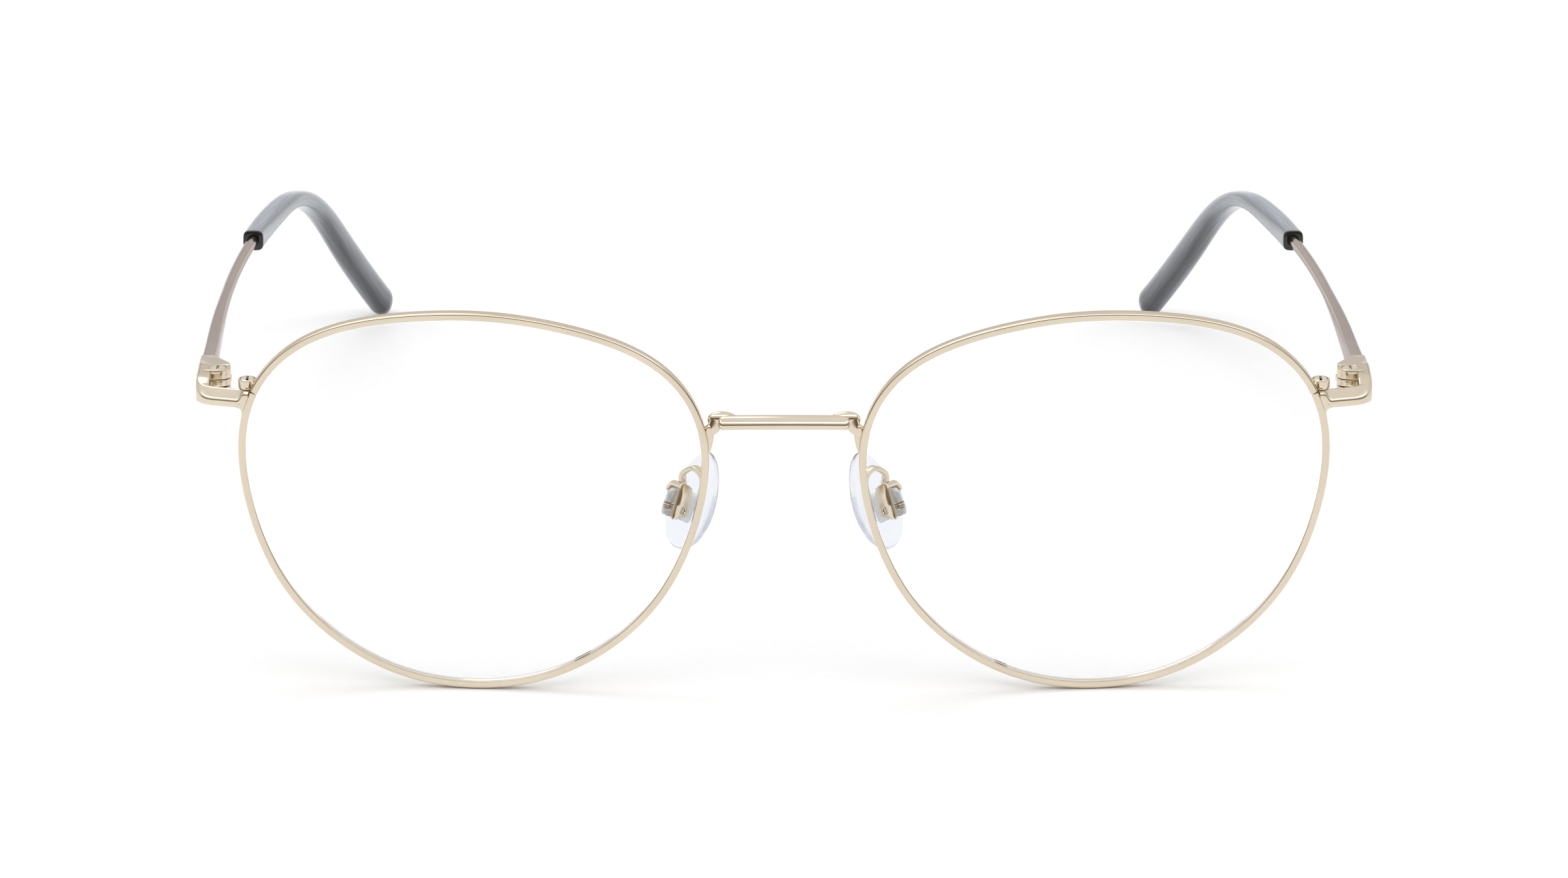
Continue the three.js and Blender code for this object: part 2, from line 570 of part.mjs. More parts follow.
const padScrewGeometry = () =>
  screw(PAD_SCREW, WALL_X + BOX_WALL, -WALL_X - BOX_WALL).rotateY(-Math.PI / 2).applyMatrix4(padMatrix);

// A wire from the back of the rim, up over a loop and down into the box's roof.
function padArmGeometry(rim) {
  const footAngle = angleAtLevel(ARM_LEVEL, radians(130), radians(230));
  const foot = rimPoint(footAngle, RIM_OUTSIDE / 2, RIM_DEPTH / 2);
  const roof = V3(0, BOX_TOP - BOX_WALL / 2, 0).applyMatrix4(padMatrix);
  const up = (p, y, z) => p.clone().add(V3(0, y, z));
  const crown = foot.clone().lerp(roof, 0.45).setZ(foot.z + ARM_LOOP);
  const curve = new THREE.CatmullRomCurve3([foot, up(foot, 1, 0.7), crown, up(roof, -0.1, 1.1), roof]);
  const points = curve.getSpacedPoints(14);
  const plane = roof.clone().sub(foot).cross(V3(0, 0, 1)).normalize();
  const wire = sweep(points, points.map(() => roundSection(ARM_DIAMETER)), plane);
  const room = box(-3, 3, -3, BOX_TOP + SOLDER_GAP, -3, 3).applyMatrix4(padMatrix);
  return cut(wire, rim, room);
}

// ---- Bridge ----
// A bar arched between the rims; each end turns back into a claw that runs down the rim's nose side.
function bridgeGeometry(rims) {
  const level = LENS_Z + BRIDGE_LEVEL;
  const contact = angleAtLevel(BRIDGE_LEVEL, radians(110), radians(185));
  const side = rimPoint(contact, RIM_OUTSIDE, 0);
  const end = side.x - BRIDGE_FOOT_RADIUS * 1.5;
  const count = 10;
  const line = Array.from({ length: count + 1 }, (_, i) => {
    const t = (2 * i) / count - 1;
    return V3(end * t, side.y * 0.5 + t * t * 0.5, level - BRIDGE_ARCH * t * t);
  });
  const bar = sweep(line, line.map(() => section(BRIDGE_DEPTH, BRIDGE_HEIGHT, 0.35)));
  const clawPoints = [V3(end - 0.4, line.at(-1).y + 0.1, line.at(-1).z)];
  const clawSizes = [2 * BRIDGE_FOOT_RADIUS];
  for (const share of [0.3, 0.55, 0.78, 1]) {
    const angle = angleAtLevel(BRIDGE_LEVEL - BRIDGE_FOOT_DROP * share, radians(110), radians(185));
    const radius = BRIDGE_FOOT_RADIUS * (1 - 0.75 * share);
    clawPoints.push(rimPoint(angle, RIM_OUTSIDE + radius * 0.7, 0.1));
    clawSizes.push(2 * radius);
  }
  const claw = sweep(clawPoints, clawSizes.map(roundSection), V3(0, 1, 0));
  const mirrored = claw.clone().scale(-1, 1, 1);
  return cut(join(bar, claw, outward(mirrored)), ...rims);
}

// ---- Assembly ----
const FINISHES = {
  gold: { color: 0xdccdb2, roughness: 0.2, metalness: 1 },
  screw: { color: 0xcfc0a6, roughness: 0.28, metalness: 1 },
  lens: { color: 0xf3f8fa, roughness: 0.04, metalness: 0, transparent: true, opacity: 0.25 },
  pad: { color: 0xe4e9ee, roughness: 0.15, metalness: 0, transparent: true, opacity: 0.6 },
  tip: { color: 0x5d646a, roughness: 0.25, metalness: 0 },
};
function mesh(name, geometry, finish) {
  const made = new THREE.Mesh(geometry, new THREE.MeshStandardMaterial(FINISHES[finish]));
  made.name = name;
  return made;
}

// One half of the spectacles, as it is on the wearer's left, with its temple folded in by an angle.
function half(side, foldDegrees) {
  const rim = rimRoom();
  const group = new THREE.Group();
  group.add(
    mesh(`rim_${side}`, rimGeometry(), "gold"),
    mesh(`lens_${side}`, lensGeometry(), "lens"),
    mesh(`endpiece_${side}`, endPieceGeometry(rim), "gold"),
    mesh(`closing_block_${side}`, closingBlockGeometry(rim), "gold"),
    mesh(`rim_screw_${side}`, rimScrewGeometry(), "screw"),
    mesh(`pad_arm_${side}`, padArmGeometry(rim), "gold"),
    mesh(`pad_box_${side}`, padBoxGeometry(), "gold"),
    mesh(`pad_screw_${side}`, padScrewGeometry(), "screw"),
    mesh(`nose_pad_${side}`, nosePadGeometry(), "pad"),
  );
  const hinge = new THREE.Group();
  hinge.position.copy(HINGE);
  hinge.rotation.x = -PANTOSCOPIC;
  const temple = new THREE.Group();
  temple.rotation.z = radians(foldDegrees);
  temple.add(
    mesh(`hinge_temple_${side}`, hingeTempleGeometry(), "gold"),
    mesh(`temple_${side}`, templeGeometry(), "gold"),
    mesh(`temple_tip_${side}`, tipGeometry(), "tip"),
  );
  hinge.add(mesh(`hinge_screw_${side}`, hingeScrewGeometry(), "screw"), temple);
  group.add(hinge);
  return group;
}

const group = new THREE.Group();
const left = half("left", LEFT_FOLD_DEGREES);
const right = half("right", 0);
right.scale.x = -1;
const leftRim = rimRoom();
const rightRim = outward(leftRim.clone().scale(-1, 1, 1));
group.add(left, right, mesh("bridge", bridgeGeometry([leftRim, rightRim]), "gold"));

// The origin is on the table, in the middle of the footprint.
const footprint = new THREE.Box3().setFromObject(group, true);
group.position.x = -(footprint.min.x + footprint.max.x) / 2;
group.position.y = -(footprint.min.y + footprint.max.y) / 2;

export default group;
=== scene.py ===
# Round metal eyeglasses standing open on a pale table: champagne-gold eyewires, bridge, end pieces
# and wire temples, clear lenses, clear nose pads and translucent smoke-grey temple tips.
# +X to the wearer's left, +Y from the lenses back to the tips, +Z up. Sizes are in millimetres, and a
# piece's mesh turns to metres when it is made; lamp, table and camera distances say what they are in.
import json
import bpy
import numpy as np
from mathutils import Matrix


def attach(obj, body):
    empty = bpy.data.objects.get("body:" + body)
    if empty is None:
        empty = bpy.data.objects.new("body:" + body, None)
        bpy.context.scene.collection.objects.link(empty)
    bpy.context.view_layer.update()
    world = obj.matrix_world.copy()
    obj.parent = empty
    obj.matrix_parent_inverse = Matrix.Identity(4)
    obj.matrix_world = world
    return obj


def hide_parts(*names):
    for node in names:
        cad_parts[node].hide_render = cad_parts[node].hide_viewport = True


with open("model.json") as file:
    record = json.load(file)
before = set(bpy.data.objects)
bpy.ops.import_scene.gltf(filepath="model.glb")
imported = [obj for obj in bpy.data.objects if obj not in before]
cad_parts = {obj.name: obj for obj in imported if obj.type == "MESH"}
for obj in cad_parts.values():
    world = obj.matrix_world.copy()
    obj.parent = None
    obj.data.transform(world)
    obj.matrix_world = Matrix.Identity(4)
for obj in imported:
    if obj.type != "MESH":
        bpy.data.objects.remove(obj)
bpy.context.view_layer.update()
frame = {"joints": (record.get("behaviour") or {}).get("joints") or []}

# ---- Studio: table, light and camera ----
# A matt off-white table inside a pale light tent, dark at the foot of its front with a bright strip over
# that, one large soft lamp overhead, and a long lens a metre in front and 18 degrees above the glasses.
joints = {joint["name"]: joint for joint in frame["joints"]}
pin_left = np.array(joints["temple_left_fold"]["pos_m"]) * 1000
pin_right = np.array(joints["temple_right_fold"]["pos_m"]) * 1000
PIN_BEHIND_LENS = 11.5  # millimetres from the lens's front pole back to the hinge pin
middle = np.array([(pin_left[0] + pin_right[0]) / 2, pin_left[1] - PIN_BEHIND_LENS, 0.0])


class Wire:
    """A shader socket that can be used in arithmetic: each operator adds one Math node to its tree."""

    def __init__(self, socket):
        self.socket = socket

    def math(self, operation, *values):
        """One Math node of an operation, fed by sockets or plain numbers."""
        tree = self.socket.id_data
        node = tree.nodes.new("ShaderNodeMath")
        node.operation = operation
        for place, value in zip(node.inputs, values):
            join(tree, value, place)
        return Wire(node.outputs[0])

    def __add__(self, other):
        return self.math("ADD", self, other)

    def __sub__(self, other):
        return self.math("SUBTRACT", self, other)

    def __rsub__(self, other):
        return self.math("SUBTRACT", other, self)

    def __mul__(self, other):
        return self.math("MULTIPLY", self, other)

    __radd__ = __add__
    __rmul__ = __mul__


def join(tree, value, socket):
    """Feeds a socket with another socket, or sets it to a plain value."""
    if isinstance(value, Wire):
        tree.links.new(value.socket, socket)
    else:
        socket.default_value = value


class Finish:
    """A node tree under construction, for a material or for the studio's light tent."""

    def __init__(self, owner):
        owner.use_nodes = True
        self.owner = owner
        self.tree = owner.node_tree
        self.tree.nodes.clear()

    def node(self, kind, out=0, settings=(), **sockets):
        """One node of a type: its settings first, then its sockets, by name with underscores for spaces or
        by number as s0, s1."""
        made = self.tree.nodes.new(kind)
        for name, value in dict(settings).items():
            setattr(made, name, value)
        for name, value in sockets.items():
            key = int(name[1:]) if name[1:].isdigit() else name.replace("_", " ")
            join(self.tree, value, made.inputs[key])
        return Wire(made.outputs[out])

    def ramp(self, factor, *stops):
        """Colours along a factor, each stop a (position, (red, green, blue)) pair."""
        wire = self.node("ShaderNodeValToRGB", Fac=factor)
        ramp = wire.socket.node.color_ramp
        while len(ramp.elements) < len(stops):
            ramp.elements.new(0.5)
        for element, (position, colour) in zip(ramp.elements, stops):
            element.position = position
            element.color = (*colour, 1)
        return wire

    def close(self, kind, surface):
        """Ends the tree in its output node and gives back the material or world."""
        output = self.tree.nodes.new(kind)
        self.tree.links.new(surface.socket, output.inputs[0])
        return self.owner


tent = Finish(bpy.data.worlds.new("light_tent"))
direction = tent.node("ShaderNodeTexCoord", out=0)
away, up = (tent.node("ShaderNodeSeparateXYZ", out=axis, Vector=direction) for axis in (1, 2))
# Seen from the glasses, the tent's front has a dark gap at its foot and a bright strip over it.
STRIP = (3.0, 3.0, 3.0)
front = tent.ramp(up, (0.0, (0.55, 0.5, 0.45)), (0.06, (0.15, 0.11, 0.08)), (0.24, (0.18, 0.14, 0.10)),
                  (0.38, (0.8, 0.77, 0.72)), (0.60, (0.9, 0.9, 0.9)), (0.66, STRIP),
                  (0.74, STRIP), (0.80, (0.95, 0.95, 0.95)), (1.0, (0.98, 0.98, 0.98)))
back = tent.ramp(up, (0.0, (0.74, 0.74, 0.77)), (0.3, (0.84, 0.84, 0.86)), (0.7, (0.9, 0.9, 0.9)),
                 (1.0, (0.98, 0.98, 0.98)))
turn = tent.ramp(away * 0.5 + 0.5, (0.42, (0, 0, 0)), (0.56, (1, 1, 1)))
glow = tent.node("ShaderNodeMix", out=2, settings={"data_type": "RGBA"}, s0=turn, s6=front, s7=back)
sky = tent.node("ShaderNodeBackground", Color=glow, Strength=0.96)
bpy.context.scene.world = tent.close("ShaderNodeOutputWorld", sky)

LAMP_WIDTH, LAMP_POWER = 0.6, 1.3  # metres and watts
lamp = bpy.data.objects.new("soft_lamp", bpy.data.lights.new("soft_lamp", "AREA"))
lamp.data.shape, lamp.data.size, lamp.data.energy = "DISK", LAMP_WIDTH, LAMP_POWER
lamp.location = (-0.3, 0.25, 0.9)  # metres
lamp.rotation_euler = (np.radians(-16), np.radians(-18), 0)
bpy.context.collection.objects.link(lamp)

TABLE_HALF, TABLE_TOP = 4.0, -0.0001  # metres; a hair under the glasses, so that nothing is buried in it
table_finish = Finish(bpy.data.materials.new("table_white"))
spot = table_finish.node("ShaderNodeTexCoord", out=3)
grain = table_finish.node("ShaderNodeTexNoise", Vector=spot, Scale=900.0, Detail=3.0)
shade = table_finish.ramp(grain, (0.3, (0.93, 0.93, 0.935)), (0.7, (0.95, 0.95, 0.95)))
board = table_finish.node("ShaderNodeBsdfPrincipled", Base_Color=shade, Roughness=0.85)
table_finish.close("ShaderNodeOutputMaterial", board)
table = bpy.data.objects.new("table", bpy.data.meshes.new("table"))
table_corners = [(x * TABLE_HALF, y * TABLE_HALF, TABLE_TOP) for x, y in ((-1, -1), (1, -1), (1, 1), (-1, 1))]
table.data.from_pydata(table_corners, [], [(0, 1, 2, 3)])
table.data.materials.append(table_finish.owner)
bpy.context.collection.objects.link(table)

CAMERA_AWAY, CAMERA_RISE, AIM_HEIGHT = 997.4, np.radians(18), 29.325
CAMERA_LENS, SENSOR_WIDTH = 210, 36
camera = bpy.data.objects.new("camera", bpy.data.cameras.new("camera"))
camera.data.lens, camera.data.sensor_width = CAMERA_LENS, SENSOR_WIDTH
camera.data.clip_start, camera.data.clip_end = 0.05, 20
behind_camera = np.array([0, -np.cos(CAMERA_RISE), np.sin(CAMERA_RISE)])
camera.location = (middle + [0, 0, AIM_HEIGHT] + CAMERA_AWAY * behind_camera) / 1000
camera.rotation_euler = (np.pi / 2 - CAMERA_RISE, 0, 0)
bpy.context.collection.objects.link(camera)
bpy.context.scene.camera = camera
bpy.context.scene.view_settings.view_transform = "Standard"

# ---- Eyewires ----
# Two rings of drawn nickel-silver wire with a V groove inside for the lens and a softly crowned outside,
# rolled to the lens's outline, bent to its curve and plated pale gold. Each is split at the temple side.
LENS_WIDTH, LENS_HEIGHT, BRIDGE_GAP = 50.4, 42.0, 17.6
OUTLINE_RADII = np.array([24.35, 26.05, 24.7, 21.8, 20.65, 21.35, 23.95, 25.9,
                          24.4, 22.9, 21.95, 21.35, 21.05, 21.35, 21.95, 22.95])
BASE_CURVE = 110.0
WRAP = np.tan(np.radians(4))
RIM_COVER, RIM_OUTSIDE, RIM_DEPTH = 0.2, 0.6, 1.4
LENS_X, LENS_Z = (LENS_WIDTH + BRIDGE_GAP) / 2, LENS_HEIGHT / 2 + RIM_OUTSIDE


def bare_outline(angle):
    """The trigonometric curve through the sixteen radii: each harmonic's cosine of the angle from each
    radius, weighted and summed."""
    count = len(OUTLINE_RADII)
    order = np.arange(count // 2 + 1)
    weight = np.where((order == 0) | (order == count // 2), 1, 2) / count
    turn = np.asarray(angle, float)[..., None, None] - 2 * np.pi * np.arange(count) / count
    radius = (weight[:, None] * OUTLINE_RADII * np.cos(order[:, None] * turn)).sum((-1, -2))
    return radius[..., None] * np.stack([np.cos(angle), np.sin(angle)], -1)


outline_sample = bare_outline(np.arange(720) * np.pi / 360)
outline_low, outline_high = outline_sample.min(0), outline_sample.max(0)


def lens_edge(angle, outwards=0.0):
    """Lens outline about its box centre: the bare outline stretched to the lens's width and height, then
    moved out along its normal."""
    def stretched(a):
        centred = bare_outline(a) - (outline_low + outline_high) / 2
        return centred * [LENS_WIDTH, LENS_HEIGHT] / (outline_high - outline_low)
    angle = np.asarray(angle, float)
    along = stretched(angle + 1e-3) - stretched(angle - 1e-3)
    normal = np.stack([along[..., 1], -along[..., 0]], -1) / np.linalg.norm(along, axis=-1, keepdims=True)
    return stretched(angle) + normal * np.asarray(outwards, float)[..., None]


def front_depth(u, v):
    """How far the front lies behind the lens's pole: the base curve's sagitta, and the wrap's slope
    towards the temple."""
    return (u * u + v * v) / (2 * BASE_CURVE) + u * WRAP


def rim_point(angle, outwards=0.0, behind=0.0):
    """Point on the left eyewire's section: outwards from the lens edge and behind its middle, on the
    front's curve."""
    apex, moved = lens_edge(angle), lens_edge(angle, outwards)
    y = front_depth(apex[..., 0], apex[..., 1]) + behind
    return np.stack([LENS_X + moved[..., 0], y, LENS_Z + moved[..., 1]], -1)


def angle_at(level, low, high):
    """Angle between two limits, in degrees, at which the rim's outside has a height over the lens centre."""
    angles = np.radians(np.linspace(low, high, 4001))
    return angles[np.abs(lens_edge(angles, RIM_OUTSIDE)[:, 1] - level).argmin()]


def rounded(corners, radii, steps=6):
    """Closed outline with soft corners: each corner becomes the quadratic curve that leaves its two sides
    one radius away."""
    corners, radii = np.array(corners, float), np.broadcast_to(radii, len(corners))[:, None]
    before, after = np.roll(corners, 1, 0) - corners, np.roll(corners, -1, 0) - corners
    start = corners + radii * before / np.linalg.norm(before, axis=1, keepdims=True)
    stop = corners + radii * after / np.linalg.norm(after, axis=1, keepdims=True)
    t = np.linspace(0, 1, steps)[None, :, None]
    curve = (1 - t) ** 2 * start[:, None] + 2 * t * (1 - t) * corners[:, None] + t ** 2 * stop[:, None]
    return curve.reshape(-1, 2)


def tube(rings, looped=False):
    """Closed shell through rings of points: quads between neighbours, and one flat face over each end
    unless it is looped."""
    rows, count = rings.shape[:2]
    i, j = np.meshgrid(np.arange(rows if looped else rows - 1), np.arange(count), indexing="ij")
    k, below = (j + 1) % count, (i + 1) % rows
    quads = np.stack([i * count + j, i * count + k, below * count + k, below * count + j], -1).reshape(-1, 4)
    faces = quads.tolist()
    if not looped:
        faces.append(list(range(count))[::-1])
        faces.append(list(range((rows - 1) * count, rows * count)))
    return rings.reshape(-1, 3), faces


def signed_volume(points, faces):
    """Six times the volume that the faces enclose, each face fanned from its first corner; negative if
    they face in."""
    fans = np.array([(f[0], f[n], f[n + 1]) for f in faces for n in range(1, len(f) - 1)])
    a, b, c = (points[fans[:, n]] - points.mean(0) for n in range(3))
    return np.einsum("ij,ij->i", a, np.cross(b, c)).sum()


def make(name, shells, side, body, material, nodes, keep_edges=38, marks=None):
    """One piece out of closed shells in millimetres from the front's middle. A right-hand piece is the
    left one mirrored in x."""
    points, faces, first = [], [], 0
    for shell_points, shell_faces in shells:
        shell_points = shell_points * ([-1, 1, 1] if side == "right" else [1, 1, 1])
        if signed_volume(shell_points, shell_faces) < 0:
            shell_faces = [face[::-1] for face in shell_faces]
        points.append((shell_points + middle) / 1000)
        faces += [[first + n for n in face] for face in shell_faces]
        first += len(shell_points)
    mesh = bpy.data.meshes.new(name)
    mesh.from_pydata(np.concatenate(points).tolist(), [], faces)
    mesh.shade_smooth()
    mesh.set_sharp_from_angle(angle=np.radians(keep_edges))
    for mark, values in (marks or {}).items():
        layer = mesh.attributes.new(mark, "FLOAT", "POINT")
        layer.data.foreach_set("value", np.concatenate(values).astype(np.float32))
    mesh.materials.append(material)
    piece = bpy.data.objects.new(name, mesh)
    bpy.context.collection.objects.link(piece)
    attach(piece, body)
    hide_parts(*nodes)
    return piece


def gold_finish(name, deep, light, edge):
    """Polished pale gold plate: two close golds in slow clouds, and a roughness that drifts as a
    hand-polished wire's does."""
    finish = Finish(bpy.data.materials.new(name))
    place = finish.node("ShaderNodeTexCoord", out=3)
    clouds = finish.node("ShaderNodeTexNoise", Vector=place, Scale=140.0, Detail=4.0)
    polish = finish.node("ShaderNodeTexNoise", Vector=place, Scale=2600.0, Detail=2.0)
    colour = finish.ramp(clouds, (0.3, deep), (0.7, light))
    bump = finish.node("ShaderNodeBump", Strength=0.04, Distance=0.00002, Height=polish)
    metal = finish.node("ShaderNodeBsdfPrincipled", Base_Color=colour, Metallic=1.0, Specular_Tint=edge,
                        Roughness=clouds * 0.08 + 0.08, Normal=bump)
    return finish.close("ShaderNodeOutputMaterial", metal)


gold = gold_finish("champagne_gold", (0.71, 0.62, 0.485), (0.755, 0.67, 0.535), (0.9, 0.85, 0.8, 1))
BAR_LEVEL, BAR_HEIGHT, BAR_DEPTH = 10.7, 1.85, 1.3
bar_top = BAR_LEVEL + BAR_HEIGHT / 2
SPLIT_GAP, CLEARANCE = 0.15, 0.06
split = angle_at(bar_top + CLEARANCE + SPLIT_GAP / 2, 0, 60)
GROOVE_HALF, GROOVE_FLOOR, CROWN = 0.44, 0.06, 0.02
rim_half = RIM_DEPTH / 2
rim_section = rounded(
    [(-RIM_COVER, -rim_half), (-RIM_COVER, -GROOVE_HALF), (GROOVE_FLOOR, 0), (-RIM_COVER, GROOVE_HALF),
     (-RIM_COVER, rim_half), (RIM_OUTSIDE, rim_half), (RIM_OUTSIDE + CROWN, 0), (RIM_OUTSIDE, -rim_half)],
    [0.1, 0.05, 0.05, 0.05, 0.12, 0.24, 0.2, 0.26])
half_gap = SPLIT_GAP / 2 / np.linalg.norm(lens_edge(split))
rim_turn = np.linspace(split + half_gap, split - half_gap + 2 * np.pi, 420)
rim_rings = rim_point(rim_turn[:, None], rim_section[None, :, 0], rim_section[None, :, 1])
for side in ("left", "right"):
    make(f"eyewire_{side}", [tube(rim_rings)], side, "front", gold, [f"rim_{side}"])

# ---- Lenses ----
# Clear plano lenses, edged to the outline with a V bevel that snaps into the eyewire's groove. Polished on
# both faces and uncoated, so they show only a faint reflection.
LENS_THICKNESS, BEVEL_DEPTH, BEVEL_HALF = 1.3, 0.26, 0.32


def clear_finish(name, colour, roughness, ior, ripple):
    """Clear material that lamps shine through: smooth refraction, with a Transparent shader for shadow
    rays and a slight ripple."""
    finish = Finish(bpy.data.materials.new(name))
    place = finish.node("ShaderNodeTexCoord", out=3)
    waves = finish.node("ShaderNodeTexNoise", Vector=place, Scale=120.0, Detail=1.0)
    bump = finish.node("ShaderNodeBump", Strength=ripple, Distance=0.00002, Height=waves)
    tint = finish.ramp(waves, (0.3, colour), (0.7, tuple(min(1.0, c * 1.01) for c in colour)))
    clear = finish.node("ShaderNodeBsdfPrincipled", Base_Color=tint, Roughness=roughness, IOR=ior,
                        Transmission_Weight=1.0, Normal=bump)
    open_air = finish.node("ShaderNodeBsdfTransparent")
    lamp_ray = finish.node("ShaderNodeLightPath", out=1)
    both = finish.node("ShaderNodeMixShader", s0=lamp_ray, s1=clear, s2=open_air)
    return finish.close("ShaderNodeOutputMaterial", both)


lens_clear = clear_finish("lens_clear", (0.985, 0.99, 0.99), 0.0, 1.12, 0.0)
bevel = [(-BEVEL_DEPTH, -LENS_THICKNESS / 2), (-BEVEL_DEPTH, -BEVEL_HALF), (0, 0),
         (-BEVEL_DEPTH, BEVEL_HALF), (-BEVEL_DEPTH, LENS_THICKNESS / 2)]
shares = np.linspace(0.004, 0.985, 14)
lens_turn = split + np.linspace(0, 2 * np.pi, 240, endpoint=False)


def lens_rings():
    """From the middle of the front face out to the edge, over the bevel and back in: each ring is a share
    of the lens outline."""
    def face(share, behind):
        p = lens_edge(lens_turn, -BEVEL_DEPTH) * share
        return np.stack([LENS_X + p[:, 0], front_depth(p[:, 0], p[:, 1]) + behind, LENS_Z + p[:, 1]], -1)
    rings = [face(s, bevel[0][1]) for s in shares]
    rings += [rim_point(lens_turn, offset, behind) for offset, behind in bevel]
    rings += [face(s, bevel[-1][1]) for s in shares[::-1]]
    return np.stack(rings)


for side in ("left", "right"):
    make(f"clear_lens_{side}", [tube(lens_rings())], side, "front", lens_clear, [f"lens_{side}"])

# ---- End pieces ----
# One milled piece each: a bar soldered to the eyewire below its split, with a bevelled upper front, that
# turns the corner and grows into two hinge knuckles. A small fillet of solder runs down the eyewire.
PIN = np.array([(pin_left[0] - pin_right[0]) / 2, PIN_BEHIND_LENS, pin_left[2]])
TILT = np.arctan2(joints["temple_left_fold"]["axis"][1], joints["temple_left_fold"]["axis"][2])
PIN_INSET, TEMPLE_THICKNESS = 2.2, 1.5
strip = PIN_INSET - TEMPLE_THICKNESS / 2
KNUCKLE, KNUCKLE_TOP, SLOT_TOP = 1.45, 1.6, 0.45
PIN_BORE, PIN_HEAD_SEAT = 0.56, (0.96, 0.36)


def from_hinge(points, fold=0.0):
    """From the hinge's frame, Z along its pin and Y back along the temple, to the front's; fold turns the
    temple about its pin."""
    x, y, z = np.moveaxis(np.asarray(points, float), -1, 0)
    x, y = x * np.cos(fold) - y * np.sin(fold), x * np.sin(fold) + y * np.cos(fold)
    y, z = y * np.cos(TILT) + z * np.sin(TILT), z * np.cos(TILT) - y * np.sin(TILT)
    return np.stack([x, y, z], -1) + PIN


def sweep(path, sections, up=(0, 0, 1)):
    """Carries sections along a path: each lies square to it, its first axis to the path's right and its
    second towards up."""
    along = np.gradient(path, axis=0)
    along /= np.linalg.norm(along, axis=1, keepdims=True)
    across = np.cross(along, up)
    across /= np.linalg.norm(across, axis=1, keepdims=True)
    upright = np.cross(across, along)
    return path[:, None] + sections[..., :1] * across[:, None] + sections[..., 1:] * upright[:, None]


def ease(t):
    """Smooth step: three t squared less two t cubed, with t held between 0 and 1."""
    t = np.clip(t, 0, 1)
    return t * t * (3 - 2 * t)


def smooth_path(knots, count):
    """Points evenly spaced along the smooth curve through some knots: a cubic through each four
    neighbours (Catmull-Rom)."""
    knots = np.array(knots, float)
    ends = np.concatenate([2 * knots[:1] - knots[1:2], knots, 2 * knots[-1:] - knots[-2:-1]])
    t = np.linspace(0, 1, 40, endpoint=False)[None, :, None]
    a, b, c, d = (ends[n:len(ends) - 3 + n, None] for n in range(4))
    squared, cubed = 2 * a - 5 * b + 4 * c - d, 3 * b - a - 3 * c + d
    fine = 0.5 * (2 * b + (c - a) * t + squared * t ** 2 + cubed * t ** 3)
    fine = np.concatenate([fine.reshape(-1, 3), knots[-1:]])
    length = np.concatenate([[0], np.cumsum(np.linalg.norm(np.diff(fine, axis=0), axis=1))])
    spaced = np.linspace(0, length[-1], count)
    return np.stack([np.interp(spaced, length, fine[:, n]) for n in range(3)], -1)


def washer(outline, hole, low, high, fillet, seat=None):
    """Block with a round hole about the z axis: its outline is a radius for each angle, its outer edges
    are quarter rounds, and a seat (radius, depth) lets a screw head into its top."""
    angle = np.linspace(0, 2 * np.pi, len(outline), endpoint=False)
    arc = np.linspace(0, np.pi / 2, 5)
    outer = np.concatenate([np.stack([fillet * (1 - np.sin(arc)), low + fillet * (1 - np.cos(arc))], -1),
                            np.stack([fillet * (1 - np.cos(arc)), high - fillet * (1 - np.sin(arc))], -1)])
    rings = [(hole, low)]
    rings += [(outline - inset, z) for inset, z in outer]
    if seat:
        floor = high - seat[1]
        rings += [(seat[0] + 0.03, high), (seat[0], high - 0.03), (seat[0], floor), (hole, floor)]
    else:
        rings += [(hole + 0.03, high), (hole, high - 0.03)]
    points = [np.stack([r * np.cos(angle), r * np.sin(angle), np.full_like(angle, z)], -1) for r, z in rings]
    return tube(np.stack(points), looped=True)


def knuckle_outline(count=96):
    """Radius round the pin of a knuckle: a half circle inwards, square towards the outside of the hinge."""
    angle = np.linspace(0, 2 * np.pi, count, endpoint=False)
    square = KNUCKLE / np.maximum(np.abs(np.cos(angle)), np.abs(np.sin(angle)))
    return np.where(np.cos(angle) > 0, square, KNUCKLE)


bar_angle = angle_at(BAR_LEVEL, 0, 60)
bar_foot = lens_edge(bar_angle)
bar_slope = np.arctan(front_depth(bar_foot[0] + 1, bar_foot[1]) - front_depth(bar_foot[0], bar_foot[1]))
CORNER_RADIUS, FILLET_DROP = 1.8, 0.9


def bar_path():
    """Middle line of the end piece: along the front's slope, round a quarter of a circle, and straight
    back to the butt."""
    start = rim_point(bar_angle, 0.2, (BAR_DEPTH - RIM_DEPTH) / 2 + 0.03)
    start[2] = LENS_Z + BAR_LEVEL
    leg_x, turn = PIN[0] + strip, np.pi / 2 - bar_slope
    reach = CORNER_RADIUS * np.tan(turn / 2)
    corner_y = start[1] + (leg_x - start[0]) * np.tan(bar_slope)
    hub = np.array([leg_x - CORNER_RADIUS, corner_y + reach, start[2]])
    spokes = bar_slope - np.pi / 2 + turn * np.linspace(0, 1, 24)
    bend = hub + CORNER_RADIUS * np.stack([np.cos(spokes), np.sin(spokes), 0 * spokes], -1)
    butt = from_hinge([strip, KNUCKLE, 0])
    straight = start + (bend[0] - start) * np.linspace(0, 1, 24, endpoint=False)[:, None]
    leg = bend[-1] + (butt - bend[-1]) * np.linspace(0, 1, 34)[1:, None]
    return np.concatenate([straight, bend, leg])


